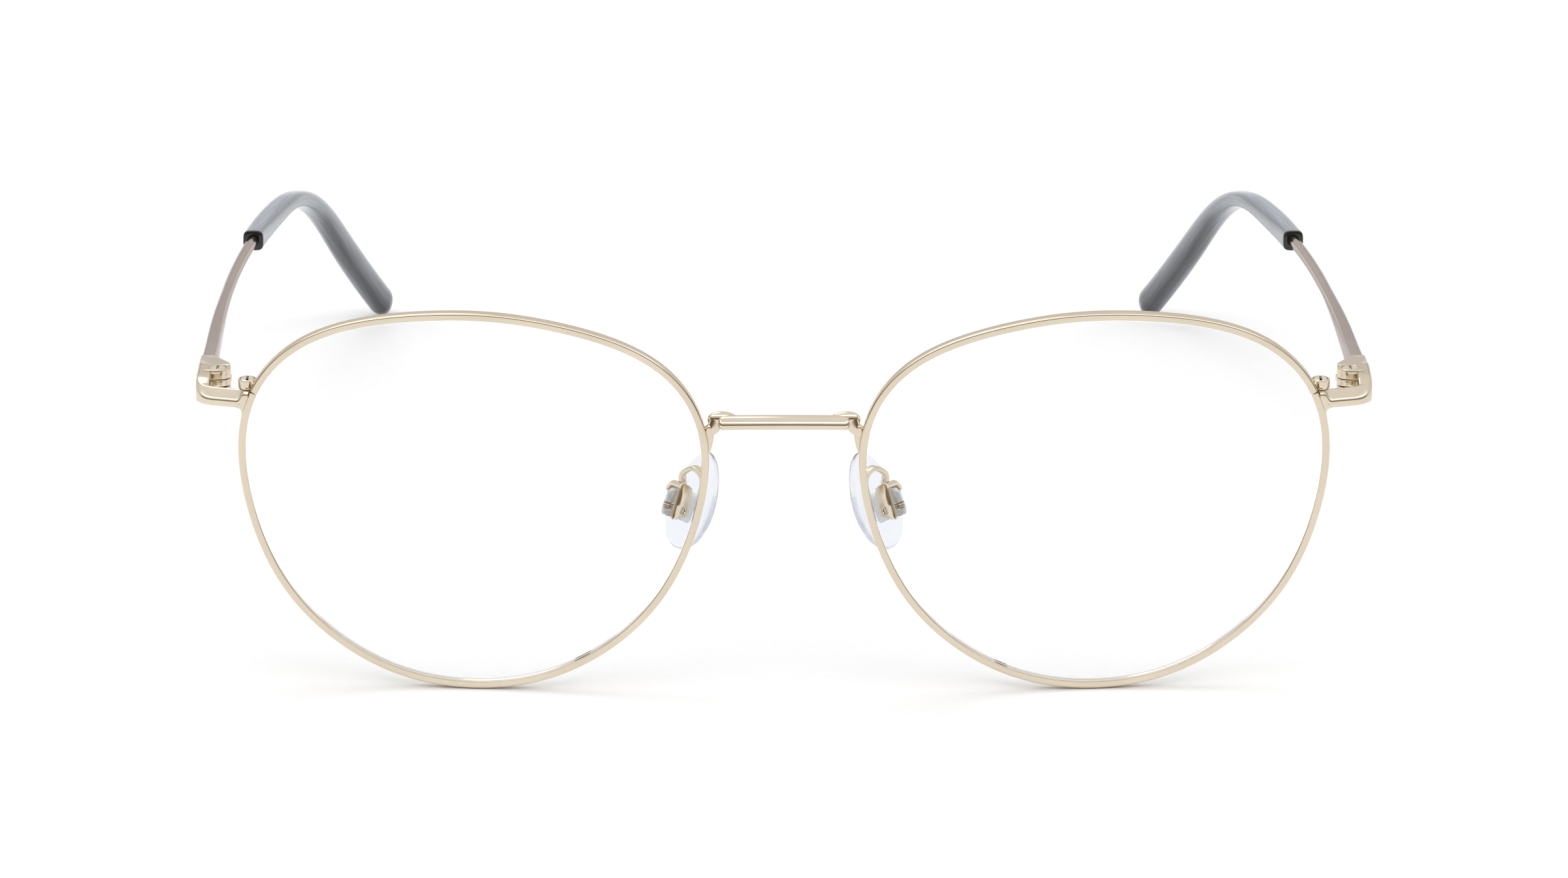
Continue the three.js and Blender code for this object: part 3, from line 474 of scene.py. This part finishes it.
def bar_sections(path):
    """Section at each point: the bevelled bar, whose crease climbs to the top beside the eyewire and
    fades round the corner, grows into the plain tall leg of the hinge."""
    run = np.concatenate([[0], np.cumsum(np.linalg.norm(np.diff(path, axis=0), axis=1))])
    beside_rim = 1 - ease((run - 0.45) / 0.8)
    leg = ease((run - 4.6) / 2.6)
    tall = BAR_HEIGHT / 2 + (KNUCKLE_TOP - BAR_HEIGHT / 2) * ease((run - 5.6) / 2.4)
    half = BAR_DEPTH / 2 + (TEMPLE_THICKNESS - BAR_DEPTH) / 2 * leg
    crease = -0.05 + 0.85 * beside_rim
    crease = crease + (tall - 0.12 - crease) * leg
    sections = []
    for h, w, c, share in zip(tall, half, crease, np.maximum(leg, beside_rim)):
        ridge = -w + 0.22 + (2 * w - 0.4) * share
        corners = [(w, -h), (w, c), (ridge, h), (-w, h), (-w, -h)]
        sections.append(rounded(corners, [0.3, 0.3, 0.12, 0.16, 0.16]))
    return np.stack(sections)


def solder_fillet():
    """Gusset under the bar: a flat plate whose free side is the quadratic curve from the bar's underside
    to the eyewire."""
    under = BAR_LEVEL - BAR_HEIGHT / 2
    top, low = (lens_edge(angle_at(level, -10, 60), RIM_OUTSIDE) for level in (under, under - FILLET_DROP))
    t = np.linspace(0, 1, 12)[:, None]
    far = top + [0.85, 0.12]
    curve = (1 - t) ** 2 * far + 2 * t * (1 - t) * (top + [0.02, 0.0]) + t ** 2 * low
    outline = np.concatenate([curve, [low - [0.4, 0], top + [-0.4, 0.35], far + [-0.35, 0.35]]])
    front = front_depth(top[0], top[1])
    rings = [np.stack([LENS_X + outline[:, 0], np.full(len(outline), front + y), LENS_Z + outline[:, 1]], -1)
             for y in (-0.62, -0.55, 0.45, 0.5)]
    return tube(np.stack(rings))


end_path = bar_path()
knuckles = [washer(knuckle_outline(), PIN_BORE, SLOT_TOP, KNUCKLE_TOP, fillet=0.14, seat=PIN_HEAD_SEAT),
            washer(knuckle_outline(), PIN_BORE, -KNUCKLE_TOP, -SLOT_TOP, fillet=0.14)]
for side in ("left", "right"):
    shells = [tube(sweep(end_path, bar_sections(end_path))), solder_fillet()]
    shells += [(from_hinge(points), faces) for points, faces in knuckles]
    make(f"end_piece_{side}", shells, side, "front", gold, [f"endpiece_{side}"])

# ---- Closing blocks and rim screws ----
# A small round block on each side of the eyewire's split; the screw through both draws the eyewire shut
# round its lens. The lower block is part of the end piece, the upper one is soldered to the eyewire.
block_foot = rim_point(split, RIM_OUTSIDE, 0)
BLOCK = np.array([block_foot[0] + 0.35, block_foot[1] + 1.25, LENS_Z + bar_top])
BLOCK_RADIUS, BLOCK_HEIGHT, BLOCK_BORE = 1.0, 1.15, 0.46
LOWER_SHARE, LOWER_FOOT, RIM_HEAD_SEAT = 0.8, -1.0, (0.81, 0.3)


def slotted_head(radius, height, slot=0.28, slot_depth=0.2, soft=0.07):
    """Round screw head, its top at z = 0 and its slot along y. Chords of the disc run along x; over each,
    the loop goes up the side, across the top and down again. The top falls as a quarter circle by the
    edge, and to the slot's floor inside it."""
    outside = radius * 0.998 * np.sin(np.linspace(-np.pi / 2, np.pi / 2, 41))
    left = np.append(outside[outside < -slot / 2], -slot / 2)
    floor = np.array([-slot / 2, 0, slot / 2])
    x = np.concatenate([left, floor, -left[::-1]])
    in_slot = np.concatenate([left * 0, floor * 0 + 1, left * 0])[:, None] > 0
    chord = np.sqrt(np.maximum(radius ** 2 - x ** 2, 1e-8))[:, None]
    y = chord * np.sin(np.linspace(-np.pi / 2, np.pi / 2, 37))[None]
    past = np.maximum(np.hypot(x[:, None], y) - (radius - soft), 0)
    z = np.sqrt(np.maximum(soft ** 2 - past ** 2, 0)) - soft
    z = np.where(in_slot, np.minimum(z, -slot_depth), z)
    y = np.concatenate([-chord, y, chord], 1)
    z = np.concatenate([-height + 0 * chord, z, -height + 0 * chord], 1)
    return tube(np.stack([np.broadcast_to(x[:, None], y.shape), y, z], -1))


def screw_shank(radius, high, low):
    """Plain round shank along z: a circle carried from one height to the other."""
    angle = np.linspace(0, 2 * np.pi, 32, endpoint=False)
    circle = np.stack([radius * np.cos(angle), radius * np.sin(angle)], -1)
    return tube(np.stack([np.column_stack([circle, np.full(32, z)]) for z in (low, high)]))


def turned_finish():
    """Bright turned steel: a paler gold than the frame's, its tone and roughness broken by fine lathe
    marks."""
    finish = Finish(bpy.data.materials.new("turned_screw"))
    place = finish.node("ShaderNodeTexCoord", out=3)
    marks = finish.node("ShaderNodeTexNoise", Vector=place, Scale=5200.0, Detail=3.0)
    colour = finish.ramp(marks, (0.3, (0.72, 0.65, 0.53)), (0.75, (0.83, 0.77, 0.66)))
    bump = finish.node("ShaderNodeBump", Strength=0.15, Distance=0.00002, Height=marks)
    steel = finish.node("ShaderNodeBsdfPrincipled", Base_Color=colour, Metallic=1.0,
                        Roughness=marks * 0.15 + 0.14, Normal=bump)
    return finish.close("ShaderNodeOutputMaterial", steel)


screw_steel = turned_finish()
round_outline = np.full(72, BLOCK_RADIUS)
for side in ("left", "right"):
    upper = washer(round_outline, BLOCK_BORE, 0.0, BLOCK_HEIGHT, fillet=0.16, seat=RIM_HEAD_SEAT)
    make(f"closing_block_upper_{side}", [(upper[0] + BLOCK, upper[1])], side, "front", gold,
         [f"closing_block_{side}"])
    lower = washer(round_outline * LOWER_SHARE, BLOCK_BORE, LOWER_FOOT, 0.0, fillet=0.1)
    make(f"closing_block_lower_{side}", [(lower[0] + BLOCK, lower[1])], side, "front", gold,
         [f"endpiece_{side}"])
    head = slotted_head(radius=0.75, height=0.3)
    shank = screw_shank(radius=0.4, high=BLOCK_HEIGHT - 0.2, low=-0.8)
    raised = [(head[0] + BLOCK + [0, 0, BLOCK_HEIGHT], head[1]), (shank[0] + BLOCK, shank[1])]
    make(f"rim_screw_head_{side}", raised, side, "front", screw_steel, [f"rim_screw_{side}"])

# ---- Hinges ----
# The temple's knuckle is a tongue between the end piece's two, on a plate that closes against them and
# runs back to its weld on the temple. A slotted screw from above is the hinge's pin.
near = KNUCKLE + CLEARANCE
TONGUE_LOW, TONGUE_HIGH, FLANGE_LENGTH = -0.33, 0.39, 4.6
rest_fold = {"left": np.radians(2), "right": 0.0}


def plate(outline, low, high, soft):
    """Flat plate of an outline between two heights, its edges rounded: rings step in from the outline
    along its normals."""
    along = np.roll(outline, -1, 0) - np.roll(outline, 1, 0)
    stride = np.linalg.norm(along, axis=1, keepdims=True) + 1e-9
    normal = np.stack([along[:, 1], -along[:, 0]], -1) / stride
    spread = np.sign(np.sum(np.cross(outline, np.roll(outline, -1, 0))))
    arc = np.linspace(0, np.pi / 2, 5)
    steps = [(soft * (1 - np.sin(a)), low + soft * (1 - np.cos(a))) for a in arc]
    steps += [(soft * (1 - np.cos(a)), high - soft * (1 - np.sin(a))) for a in arc]
    inwards = -spread * normal
    rings = [np.column_stack([outline + inwards * inset, np.full(len(outline), z)]) for inset, z in steps]
    return tube(np.stack(rings))


tongue_turn = np.radians(np.linspace(180, 360, 40))
tongue_outline = np.concatenate([KNUCKLE * np.stack([np.cos(tongue_turn), np.sin(tongue_turn)], -1),
                                 [(KNUCKLE, near + 0.3), (-KNUCKLE, near + 0.3)]])
wing = -KNUCKLE * 0.9
weld = near + FLANGE_LENGTH
flange_outline = rounded([(PIN_INSET, near), (PIN_INSET, weld), (PIN_INSET - TEMPLE_THICKNESS, weld),
                          (wing, near + 0.75), (wing, near)], [0.12, 0.15, 0.3, 0.55, 0.2], steps=8)
for side in ("left", "right"):
    shells = [plate(tongue_outline, TONGUE_LOW, TONGUE_HIGH, 0.08),
              plate(flange_outline, -KNUCKLE_TOP + 0.05, KNUCKLE_TOP - 0.05, 0.16)]
    shells = [(from_hinge(points, rest_fold[side]), faces) for points, faces in shells]
    make(f"temple_knuckle_{side}", shells, side, f"temple_{side}", gold,
         [f"hinge_temple_{side}"])
    head = slotted_head(radius=0.9, height=0.35, slot=0.3)
    shank = screw_shank(radius=0.5, high=KNUCKLE_TOP - 0.3, low=-KNUCKLE_TOP)
    shells = [(from_hinge(head[0] + [0, 0, KNUCKLE_TOP - 0.02]), head[1]), (from_hinge(shank[0]), shank[1])]
    make(f"hinge_screw_head_{side}", shells, side, "front", screw_steel,
         [f"hinge_screw_{side}"])

# ---- Temples ----
# Gold-plated wire, drawn flat sided for the hinge and round for the rest, bowed in towards the head and bent
# down over the ear. Its end is hidden in the plastic tip.
TEMPLE_LENGTH, FLAT_END, TAPER_END = 140.0, 14.0, 45.0
TEMPLE_HEIGHT, WIRE = 2.4, 1.3
TOE, SPREAD = 23.8, 1.45  # degrees
EAR_START, EAR_RUN = 89.0, 32.0
EAR_BEND = 0.6445841  # radians; the bend that stands the tips on the table
TIP_LENGTH, CORE_LENGTH = 67.2, 55.0
tip_start = TEMPLE_LENGTH - TIP_LENGTH


def temple_line(stations):
    """Middle of the wire in the hinge's frame: steps of half a millimetre, each turned in by the toe
    (which grows with the square of the distance) less the spread, and down by the ear bend as it comes
    in, summed from the pin."""
    step = 0.5
    s = np.arange(step / 2, TEMPLE_LENGTH, step)
    yaw = np.where(s > FLAT_END, np.radians(TOE * (s / TEMPLE_LENGTH) ** 2 - SPREAD), 0)
    pitch = EAR_BEND * ease((s - EAR_START) / EAR_RUN)
    forward = np.stack([-np.sin(yaw) * np.cos(pitch), np.cos(yaw) * np.cos(pitch), -np.sin(pitch)], -1)
    points = np.concatenate([[[strip, 0, 0]], [strip, 0, 0] + np.cumsum(forward * step, 0)])
    return np.stack([np.interp(stations, np.arange(len(points)) * step, points[:, n]) for n in range(3)], -1)


def pillow(width, height, power, count=48):
    """Superellipse sections: cosine and sine to the power two over the exponent, so 2 is round and larger
    is squarer."""
    angle = np.linspace(0, 2 * np.pi, count, endpoint=False)
    width, height, power = (np.atleast_1d(v)[:, None] for v in (width, height, power))
    x = np.sign(np.cos(angle)) * np.abs(np.cos(angle)) ** (2 / power) * width / 2
    y = np.sign(np.sin(angle)) * np.abs(np.sin(angle)) ** (2 / power) * height / 2
    return np.stack([x, y], -1)


# The temples' gold is a paler, pinker copy of the frame's champagne gold. This is painted light, standing in
# for the brighter reflection the temple wires catch.
pale_gold = gold_finish("pale_gold", (0.83, 0.765, 0.715), (0.865, 0.805, 0.755), (0.55, 0.5, 0.47, 1))
wire_stations = np.linspace(weld + CLEARANCE, tip_start + CORE_LENGTH, 150)
taper = np.clip((wire_stations - FLAT_END) / (TAPER_END - FLAT_END), 0, 1)
round_share = (ease(taper) + taper) / 2
wire_sections = pillow(TEMPLE_THICKNESS + (WIRE - TEMPLE_THICKNESS) * round_share,
                       TEMPLE_HEIGHT + (WIRE - TEMPLE_HEIGHT) * round_share, 6 - 4 * round_share)
wire_rings = sweep(temple_line(wire_stations), wire_sections)
for side in ("left", "right"):
    points, faces = tube(wire_rings)
    make(f"temple_wire_{side}", [(from_hinge(points, rest_fold[side]), faces)], side, f"temple_{side}",
         pale_gold, [f"temple_{side}"])

# ---- Temple tips ----
# Injection-moulded translucent smoke-grey plastic, slid over the wire: square with soft corners at the mouth,
# slim over the ear and fuller behind it, with a rounded end.
MOUTH, SHOULDER, TIP_POINTS = 2.4, 15.0, 64
TIP_WIDTH, WAIST, WAIST_AT, TIP_FULL, FULL_AT = 2.8, 1.9, 95.0, 3.5, 128.0
TIP_ROUNDING = 2.2


def tip_sections(stations, share):
    """Tip's section at each station: its width grows over the shoulder, its height slims to the waist and
    then fills out, and the superellipse's exponent falls from squarish to nearly round."""
    width = MOUTH + (TIP_WIDTH - MOUTH) * ease((stations - tip_start) / SHOULDER)
    height = MOUTH - (MOUTH - WAIST) * ease((stations - tip_start) / (WAIST_AT - tip_start))
    height = height + (TIP_FULL - WAIST) * ease((stations - WAIST_AT) / (FULL_AT - WAIST_AT))
    power = 3.6 - 1.2 * ease((stations - tip_start) / 40)
    return pillow(width * share, height * share, power, TIP_POINTS)


def tip_finish():
    """Smoke-grey translucent plastic: nearly black looking straight in, and lighter blue-grey towards the
    edges as the surface turns away, a painted sheen that stands in for grazing reflection and light through
    the plastic; long soft streaks down its length; the mouth and its bore painted near-black as painted shade;
    all under a moulded gloss."""
    finish = Finish(bpy.data.materials.new("smoke_plastic"))
    across, upright, along = (finish.node("ShaderNodeAttribute", out=2, settings={"attribute_name": name})
                              for name in ("across", "upright", "along"))
    place = finish.node("ShaderNodeCombineXYZ", X=across, Y=upright, Z=along * 0.04)
    streak = finish.node("ShaderNodeTexNoise", Vector=place, Scale=2.6, Detail=3.0)
    # The lighter blue-grey towards the edges, driven by the facing weight, is painted sheen: it stands in for
    # grazing reflection and light through the plastic. The dark end is the plastic's own smoke colour.
    facing_sheen = finish.node("ShaderNodeLayerWeight", out=1, Blend=0.5)
    smoke = finish.ramp(facing_sheen * 0.95 + streak * 0.34 - 0.24, (0.02, (0.008, 0.008, 0.009)),
                        (0.24, (0.026, 0.024, 0.025)), (0.48, (0.085, 0.092, 0.105)),
                        (0.70, (0.25, 0.28, 0.32)), (0.95, (0.45, 0.50, 0.55)))
    # Painted shade: the mouth's lip and the bore inside it are painted near-black, for the shade inside the
    # hole.
    mouth = finish.node("ShaderNodeAttribute", out=2, settings={"attribute_name": "mouth"})
    colour = finish.node("ShaderNodeMix", out=2, settings={"data_type": "RGBA"}, s0=mouth, s6=smoke,
                         s7=(0.012, 0.011, 0.01, 1))
    plastic = finish.node("ShaderNodeBsdfPrincipled", Base_Color=colour, Roughness=streak * 0.1 + 0.14,
                          IOR=1.5, Transmission_Weight=0.06, Coat_Weight=0.1, Coat_Roughness=0.08)
    return finish.close("ShaderNodeOutputMaterial", plastic)


smoke_plastic = tip_finish()
LIP, LIP_SHRINK = 0.25, 0.09
lip_turn, end_turn = np.linspace(0, np.pi / 2, 5), np.linspace(0, np.pi / 2, 12)[1:]
tip_body = np.linspace(tip_start + LIP, TEMPLE_LENGTH - TIP_ROUNDING, 130)[1:]
tip_end = TEMPLE_LENGTH - TIP_ROUNDING + TIP_ROUNDING * np.sin(end_turn) * 0.999
tip_stations = np.concatenate([tip_start + LIP * (1 - np.cos(lip_turn)), tip_body, tip_end])
tip_share = np.concatenate([1 - LIP_SHRINK * (1 - np.sin(lip_turn)), np.ones(len(tip_body)),
                            np.maximum(np.cos(end_turn), 0.02) ** 0.75])
bore_width = np.array([1.32, 1.32, 1.4])
bore_sections = pillow(bore_width, bore_width, 2.0, TIP_POINTS)
outer_sections = tip_sections(tip_stations, tip_share)
outer_rings = sweep(temple_line(tip_stations), outer_sections)
bore_line = temple_line(np.array([tip_start, tip_start + 0.1, tip_start + 3.0]))
bore_rings = sweep(bore_line, bore_sections[::-1])[::-1]
tip_rings = np.concatenate([bore_rings, outer_rings])
# Rings that take the mouth's painted shade: all of the bore, fading out over the lip.
mouth_shade_fade = [1, 1, 0.9, 0.5, 0.1]
plain_rings = len(outer_rings) - len(mouth_shade_fade)
mouth_shade_mark = np.concatenate([np.ones(len(bore_rings)), mouth_shade_fade, np.zeros(plain_rings)])
tip_across, tip_upright = np.moveaxis(np.concatenate([bore_sections, outer_sections]), -1, 0)
tip_along = np.repeat(np.concatenate([[tip_start] * len(bore_rings), tip_stations]), TIP_POINTS)
tip_marks = {"mouth": [np.repeat(mouth_shade_mark, TIP_POINTS)], "across": [tip_across.ravel()],
             "upright": [tip_upright.ravel()], "along": [tip_along]}
for side in ("left", "right"):
    points, faces = tube(tip_rings)
    make(f"smoke_tip_{side}", [(from_hinge(points, rest_fold[side]), faces)], side, f"temple_{side}",
         smoke_plastic, [f"temple_tip_{side}"], marks=tip_marks)

# ---- Bridge ----
# A short bar with a flat front and round edges, arched a little, with a rounded lobe behind each end. From
# the lobe a claw runs down and is soldered along the eyewire, leaving a small V of air above the joint.
BRIDGE_LEVEL, FOOT_DROP = 9.45, 3.7
BAR_HALF_LENGTH, LOBE_OUT = 7.12, 6.95
bridge_y = rim_point(angle_at(BRIDGE_LEVEL, 110, 185), RIM_OUTSIDE, 0)[1] * 0.5
bridge_z = LENS_Z + BRIDGE_LEVEL


def bridge_bar():
    """The bar: an even section carried along a shallow arch, shrinking to a rounded end by a quarter
    circle."""
    t = np.sin(np.linspace(-np.pi / 2, np.pi / 2, 90))
    x = BAR_HALF_LENGTH * t
    path = np.stack([x, bridge_y + 0.5 * t * t - 0.15, bridge_z - 0.2 * t * t], -1)
    near_end = np.clip((BAR_HALF_LENGTH - np.abs(x)) / 0.5, 0, 1)
    share = 0.35 + 0.65 * np.sqrt(np.maximum(1 - (1 - near_end) ** 2, 0))
    corners = [(0.66, -0.7), (0.66, 0.1), (-0.05, 0.7), (-0.62, 0.7), (-0.62, -0.7)]
    section = rounded(corners, [0.3, 0.42, 0.3, 0.2, 0.2], steps=9)
    return tube(sweep(path, section[None] * share[:, None, None]))


def bridge_lobe():
    """Rounded lobe: a superellipsoid, long along the bar, with its poles to the sides."""
    turn = np.linspace(0.02, np.pi - 0.02, 40)[:, None]
    spin = np.linspace(0, 2 * np.pi, 48, endpoint=False)[None]
    girth = np.sin(turn) ** 0.8
    x = LOBE_OUT - 1.4 * np.cos(turn) * np.where(np.cos(turn) > 0, 1.35, 1) + 0 * spin
    y = bridge_y + 1.0 + 0.62 * girth * np.cos(spin)
    z = bridge_z - 0.1 + 0.98 * girth * np.sin(spin)
    return tube(np.stack([x, y, z], -1))


def bridge_claw():
    """Claw: oval sections that narrow along the curve from the lobe down the eyewire's nose side to a
    point."""
    knots = [(7.35, bridge_y + 0.9, bridge_z - 0.15), (7.75, bridge_y + 0.75, bridge_z - 0.95)]
    for share in (0.35, 0.55, 0.78, 1.0):
        angle = angle_at(BRIDGE_LEVEL - FOOT_DROP * share, 110, 185)
        knots.append(tuple(rim_point(angle, RIM_OUTSIDE + 0.5 * (1.05 - share), 0.1)))
    t = np.linspace(0, 1, 40)
    sections = pillow(1 - 0.4 * t, 1.45 * (1 - t) ** 0.8 + 0.22, 2.6)
    return tube(sweep(smooth_path(knots, len(t)), sections, up=(1, 0, 0)))


mirror = np.array([-1, 1, 1])
lobe, claw = bridge_lobe(), bridge_claw()
bridge_shells = [bridge_bar(), lobe, (lobe[0] * mirror, lobe[1]), claw, (claw[0] * mirror, claw[1])]
make("bridge_bar", bridge_shells, "left", "front", gold, ["bridge"])

# ---- Nose pads, their boxes, screws and arms ----
# Each pad is a clear soft drop with a boss that rocks on a tiny screw inside a gold box. A flat wire arm,
# soldered behind the eyewire, loops up and over and holds the box by its roof.
rock = joints["nose_pad_left_rock"]
PIVOT = np.array(rock["pos_m"]) * 1000 - middle
along_screw = np.array(rock["axis"])
frontal = np.radians(30)
down = np.array([np.sin(frontal), 0, -np.cos(frontal)])
down -= along_screw * (down @ along_screw)
down /= np.linalg.norm(down)
off_nose = -np.cross(along_screw, down)
PAD_LENGTH, PAD_WIDTH, PAD_THICKNESS, STANDOFF, PIVOT_DROP = 11.1, 7.5, 1.6, 2.1, 1.35
WALL_IN, WALL_OUT, WALL_HOLE = 0.81, 1.21, 0.4
ARM_THICKNESS, ARM_WIDTH = 0.55, 0.88


def from_pad(points):
    """From the pad's frame, X along its screw, Y up the pad and Z off the nose, to the front's."""
    points = np.asarray(points, float)
    return PIVOT + points[..., :1] * along_screw - points[..., 1:2] * down + points[..., 2:] * off_nose


def pad_drop():
    """Drop-shaped cushion: an egg outline, narrower at the top, whose rings grow by the sine of a half
    turn to the power 0.9 as the height follows its cosine: two shallow domes with a round rim."""
    count = 96
    angle = np.linspace(0, 2 * np.pi, count, endpoint=False)
    narrowing = 1 - 0.16 * np.sin(angle)
    egg = np.stack([PAD_WIDTH / 2 * np.cos(angle) * narrowing, PAD_LENGTH / 2 * np.sin(angle)], -1)
    polar = np.concatenate([np.linspace(0.01, np.pi / 2, 20), np.linspace(np.pi / 2, np.pi - 0.01, 20)[1:]])
    radius, height = np.sin(polar) ** 0.9, -np.cos(polar)
    rings = [np.column_stack([egg * r, np.full(count, PAD_THICKNESS / 2 * h)]) for r, h in zip(radius, height)]
    return tube(np.stack(rings) + [0, PIVOT_DROP, -STANDOFF])


def pad_boss():
    """Boss: a soft-cornered block from inside the pad out past the screw, its section a squarish
    superellipse."""
    z = np.array([-STANDOFF, -0.6, 1.0, 1.3, 1.48, 1.56])
    size = np.array([1.1, 1, 1, 0.95, 0.8, 0.5])[:, None, None]
    outline = pillow(1.36, 3.1, 4.0, 48) * size
    return tube(np.concatenate([outline + [0, 0.47], np.broadcast_to(z[:, None, None], (6, 48, 1))], -1))


def box_wall(x_low, x_high, corners):
    """Wall of the box: a soft-cornered plate of (height, standing off) corners, its outline stepped evenly
    by length and its edges rounded by steps in along the normals, round a hole for the screw."""
    count, soft = 120, rounded(corners, 0.5, steps=12)
    length = np.append(0, np.cumsum(np.linalg.norm(np.roll(soft, -1, 0) - soft, axis=1)))
    even = np.linspace(0, length[-1], count, endpoint=False)
    outline = np.stack([np.interp(even, length, np.append(soft[:, n], soft[0, n])) for n in range(2)], -1)
    along = np.roll(outline, -1, 0) - np.roll(outline, 1, 0)
    inwards = np.stack([-along[:, 1], along[:, 0]], -1) / np.linalg.norm(along, axis=1, keepdims=True)
    inwards *= -np.sign(np.sum(inwards * outline))
    bore = outline / np.linalg.norm(outline, axis=1, keepdims=True)
    hole = WALL_HOLE * bore
    steps = [(hole, x_low), (hole, x_high - 0.04), (1.1 * hole, x_high)]
    insets = [(0.1, x_high), (0.03, x_high - 0.03), (0, x_high - 0.1)]
    insets += [(0, x_low + 0.1), (0.03, x_low + 0.03), (0.1, x_low)]
    steps += [(outline + inset * inwards, x) for inset, x in insets]
    rings = [np.column_stack([np.full(count, x), ring]) for ring, x in steps]
    return tube(np.stack(rings), looped=True)


def box_roof():
    """Roof of the box: a strap's section in height and standing off, carried across from one wall to the
    other and lowered towards the far one by the ease curve, so that it drapes over the boss."""
    x = np.linspace(-WALL_OUT + 0.03, WALL_OUT - 0.1, 14)
    outline = rounded([(2.25, -0.35), (2.25, 1.5), (2.75, 1.62), (2.95, 1.3), (2.68, -0.35)], 0.16)
    drop = ease((x - 0.2) / 1.1)[:, None] * 0.75
    rings = [np.column_stack([np.full(len(outline), at), outline[:, 0] - fall,
                              outline[:, 1] * (1 - 0.2 * fall)]) for at, fall in zip(x, drop)]
    return tube(np.stack(rings))


def pad_arm():
    """Arm: a flat wire's soft-cornered section along the back of the eyewire, up over the loop and down to
    the roof."""
    heel, foot = (rim_point(angle_at(level, 130, 230), 0.15, RIM_DEPTH / 2 + 0.42) for level in (-1.6, 1.6))
    roof = from_pad([-0.75, 2.75, 0.75])
    crown = foot * 0.55 + roof * 0.45
    crown[2] = foot[2] + 1.75
    rise = foot * 0.9 + crown * 0.1 + [0, 0.1, 0.95]
    path = smooth_path([heel, (heel + foot) / 2, foot, rise, crown, roof + [0, -0.1, 1.3], roof], 90)
    side_on = np.cross(roof - foot, [0, 0, 1])
    sections = pillow(ARM_THICKNESS, ARM_WIDTH, 3.6, 40)
    return tube(sweep(path, sections, up=side_on / np.linalg.norm(side_on)))


front_wall = [(-1.35, 1.15), (-0.6, -1.05), (1.5, -0.98), (2.8, -0.25), (2.95, 1.35)]
back_wall = [(-1.15, 0.95), (-1.0, -0.8), (1.3, -0.85), (2.3, -0.3), (2.35, 1.1)]
pad_clear = clear_finish("pad_clear", (0.84, 0.865, 0.91), 0.18, 1.2, 0.2)
for side in ("left", "right"):
    drop, boss = pad_drop(), pad_boss()
    make(f"clear_pad_{side}", [(from_pad(points), faces) for points, faces in (drop, boss)], side,
         f"nose_pad_{side}", pad_clear, [f"nose_pad_{side}"])
    wall, other = box_wall(WALL_IN, WALL_OUT, front_wall), box_wall(WALL_IN, WALL_OUT - 0.1, back_wall)
    walls = [(wall[0] * mirror, wall[1]), other, box_roof()]
    make(f"pad_cup_{side}", [(from_pad(points), faces) for points, faces in walls], side, "front", gold,
         [f"pad_box_{side}"])
    make(f"pad_arm_wire_{side}", [pad_arm()], side, "front", gold, [f"pad_arm_{side}"])
    head = slotted_head(radius=0.33, height=0.2, slot=0.12, slot_depth=0.1, soft=0.04)
    shank = screw_shank(radius=0.33, high=WALL_OUT - 0.3, low=-WALL_OUT + 0.15)
    shells = [(head[0] + [0, 0, WALL_OUT - 0.16], head[1]), shank]
    shells = [(from_pad(points[:, ::-1] * [-1, 1, 1]), faces) for points, faces in shells]
    make(f"pad_screw_head_{side}", shells, side, "front", screw_steel, [f"pad_screw_{side}"])
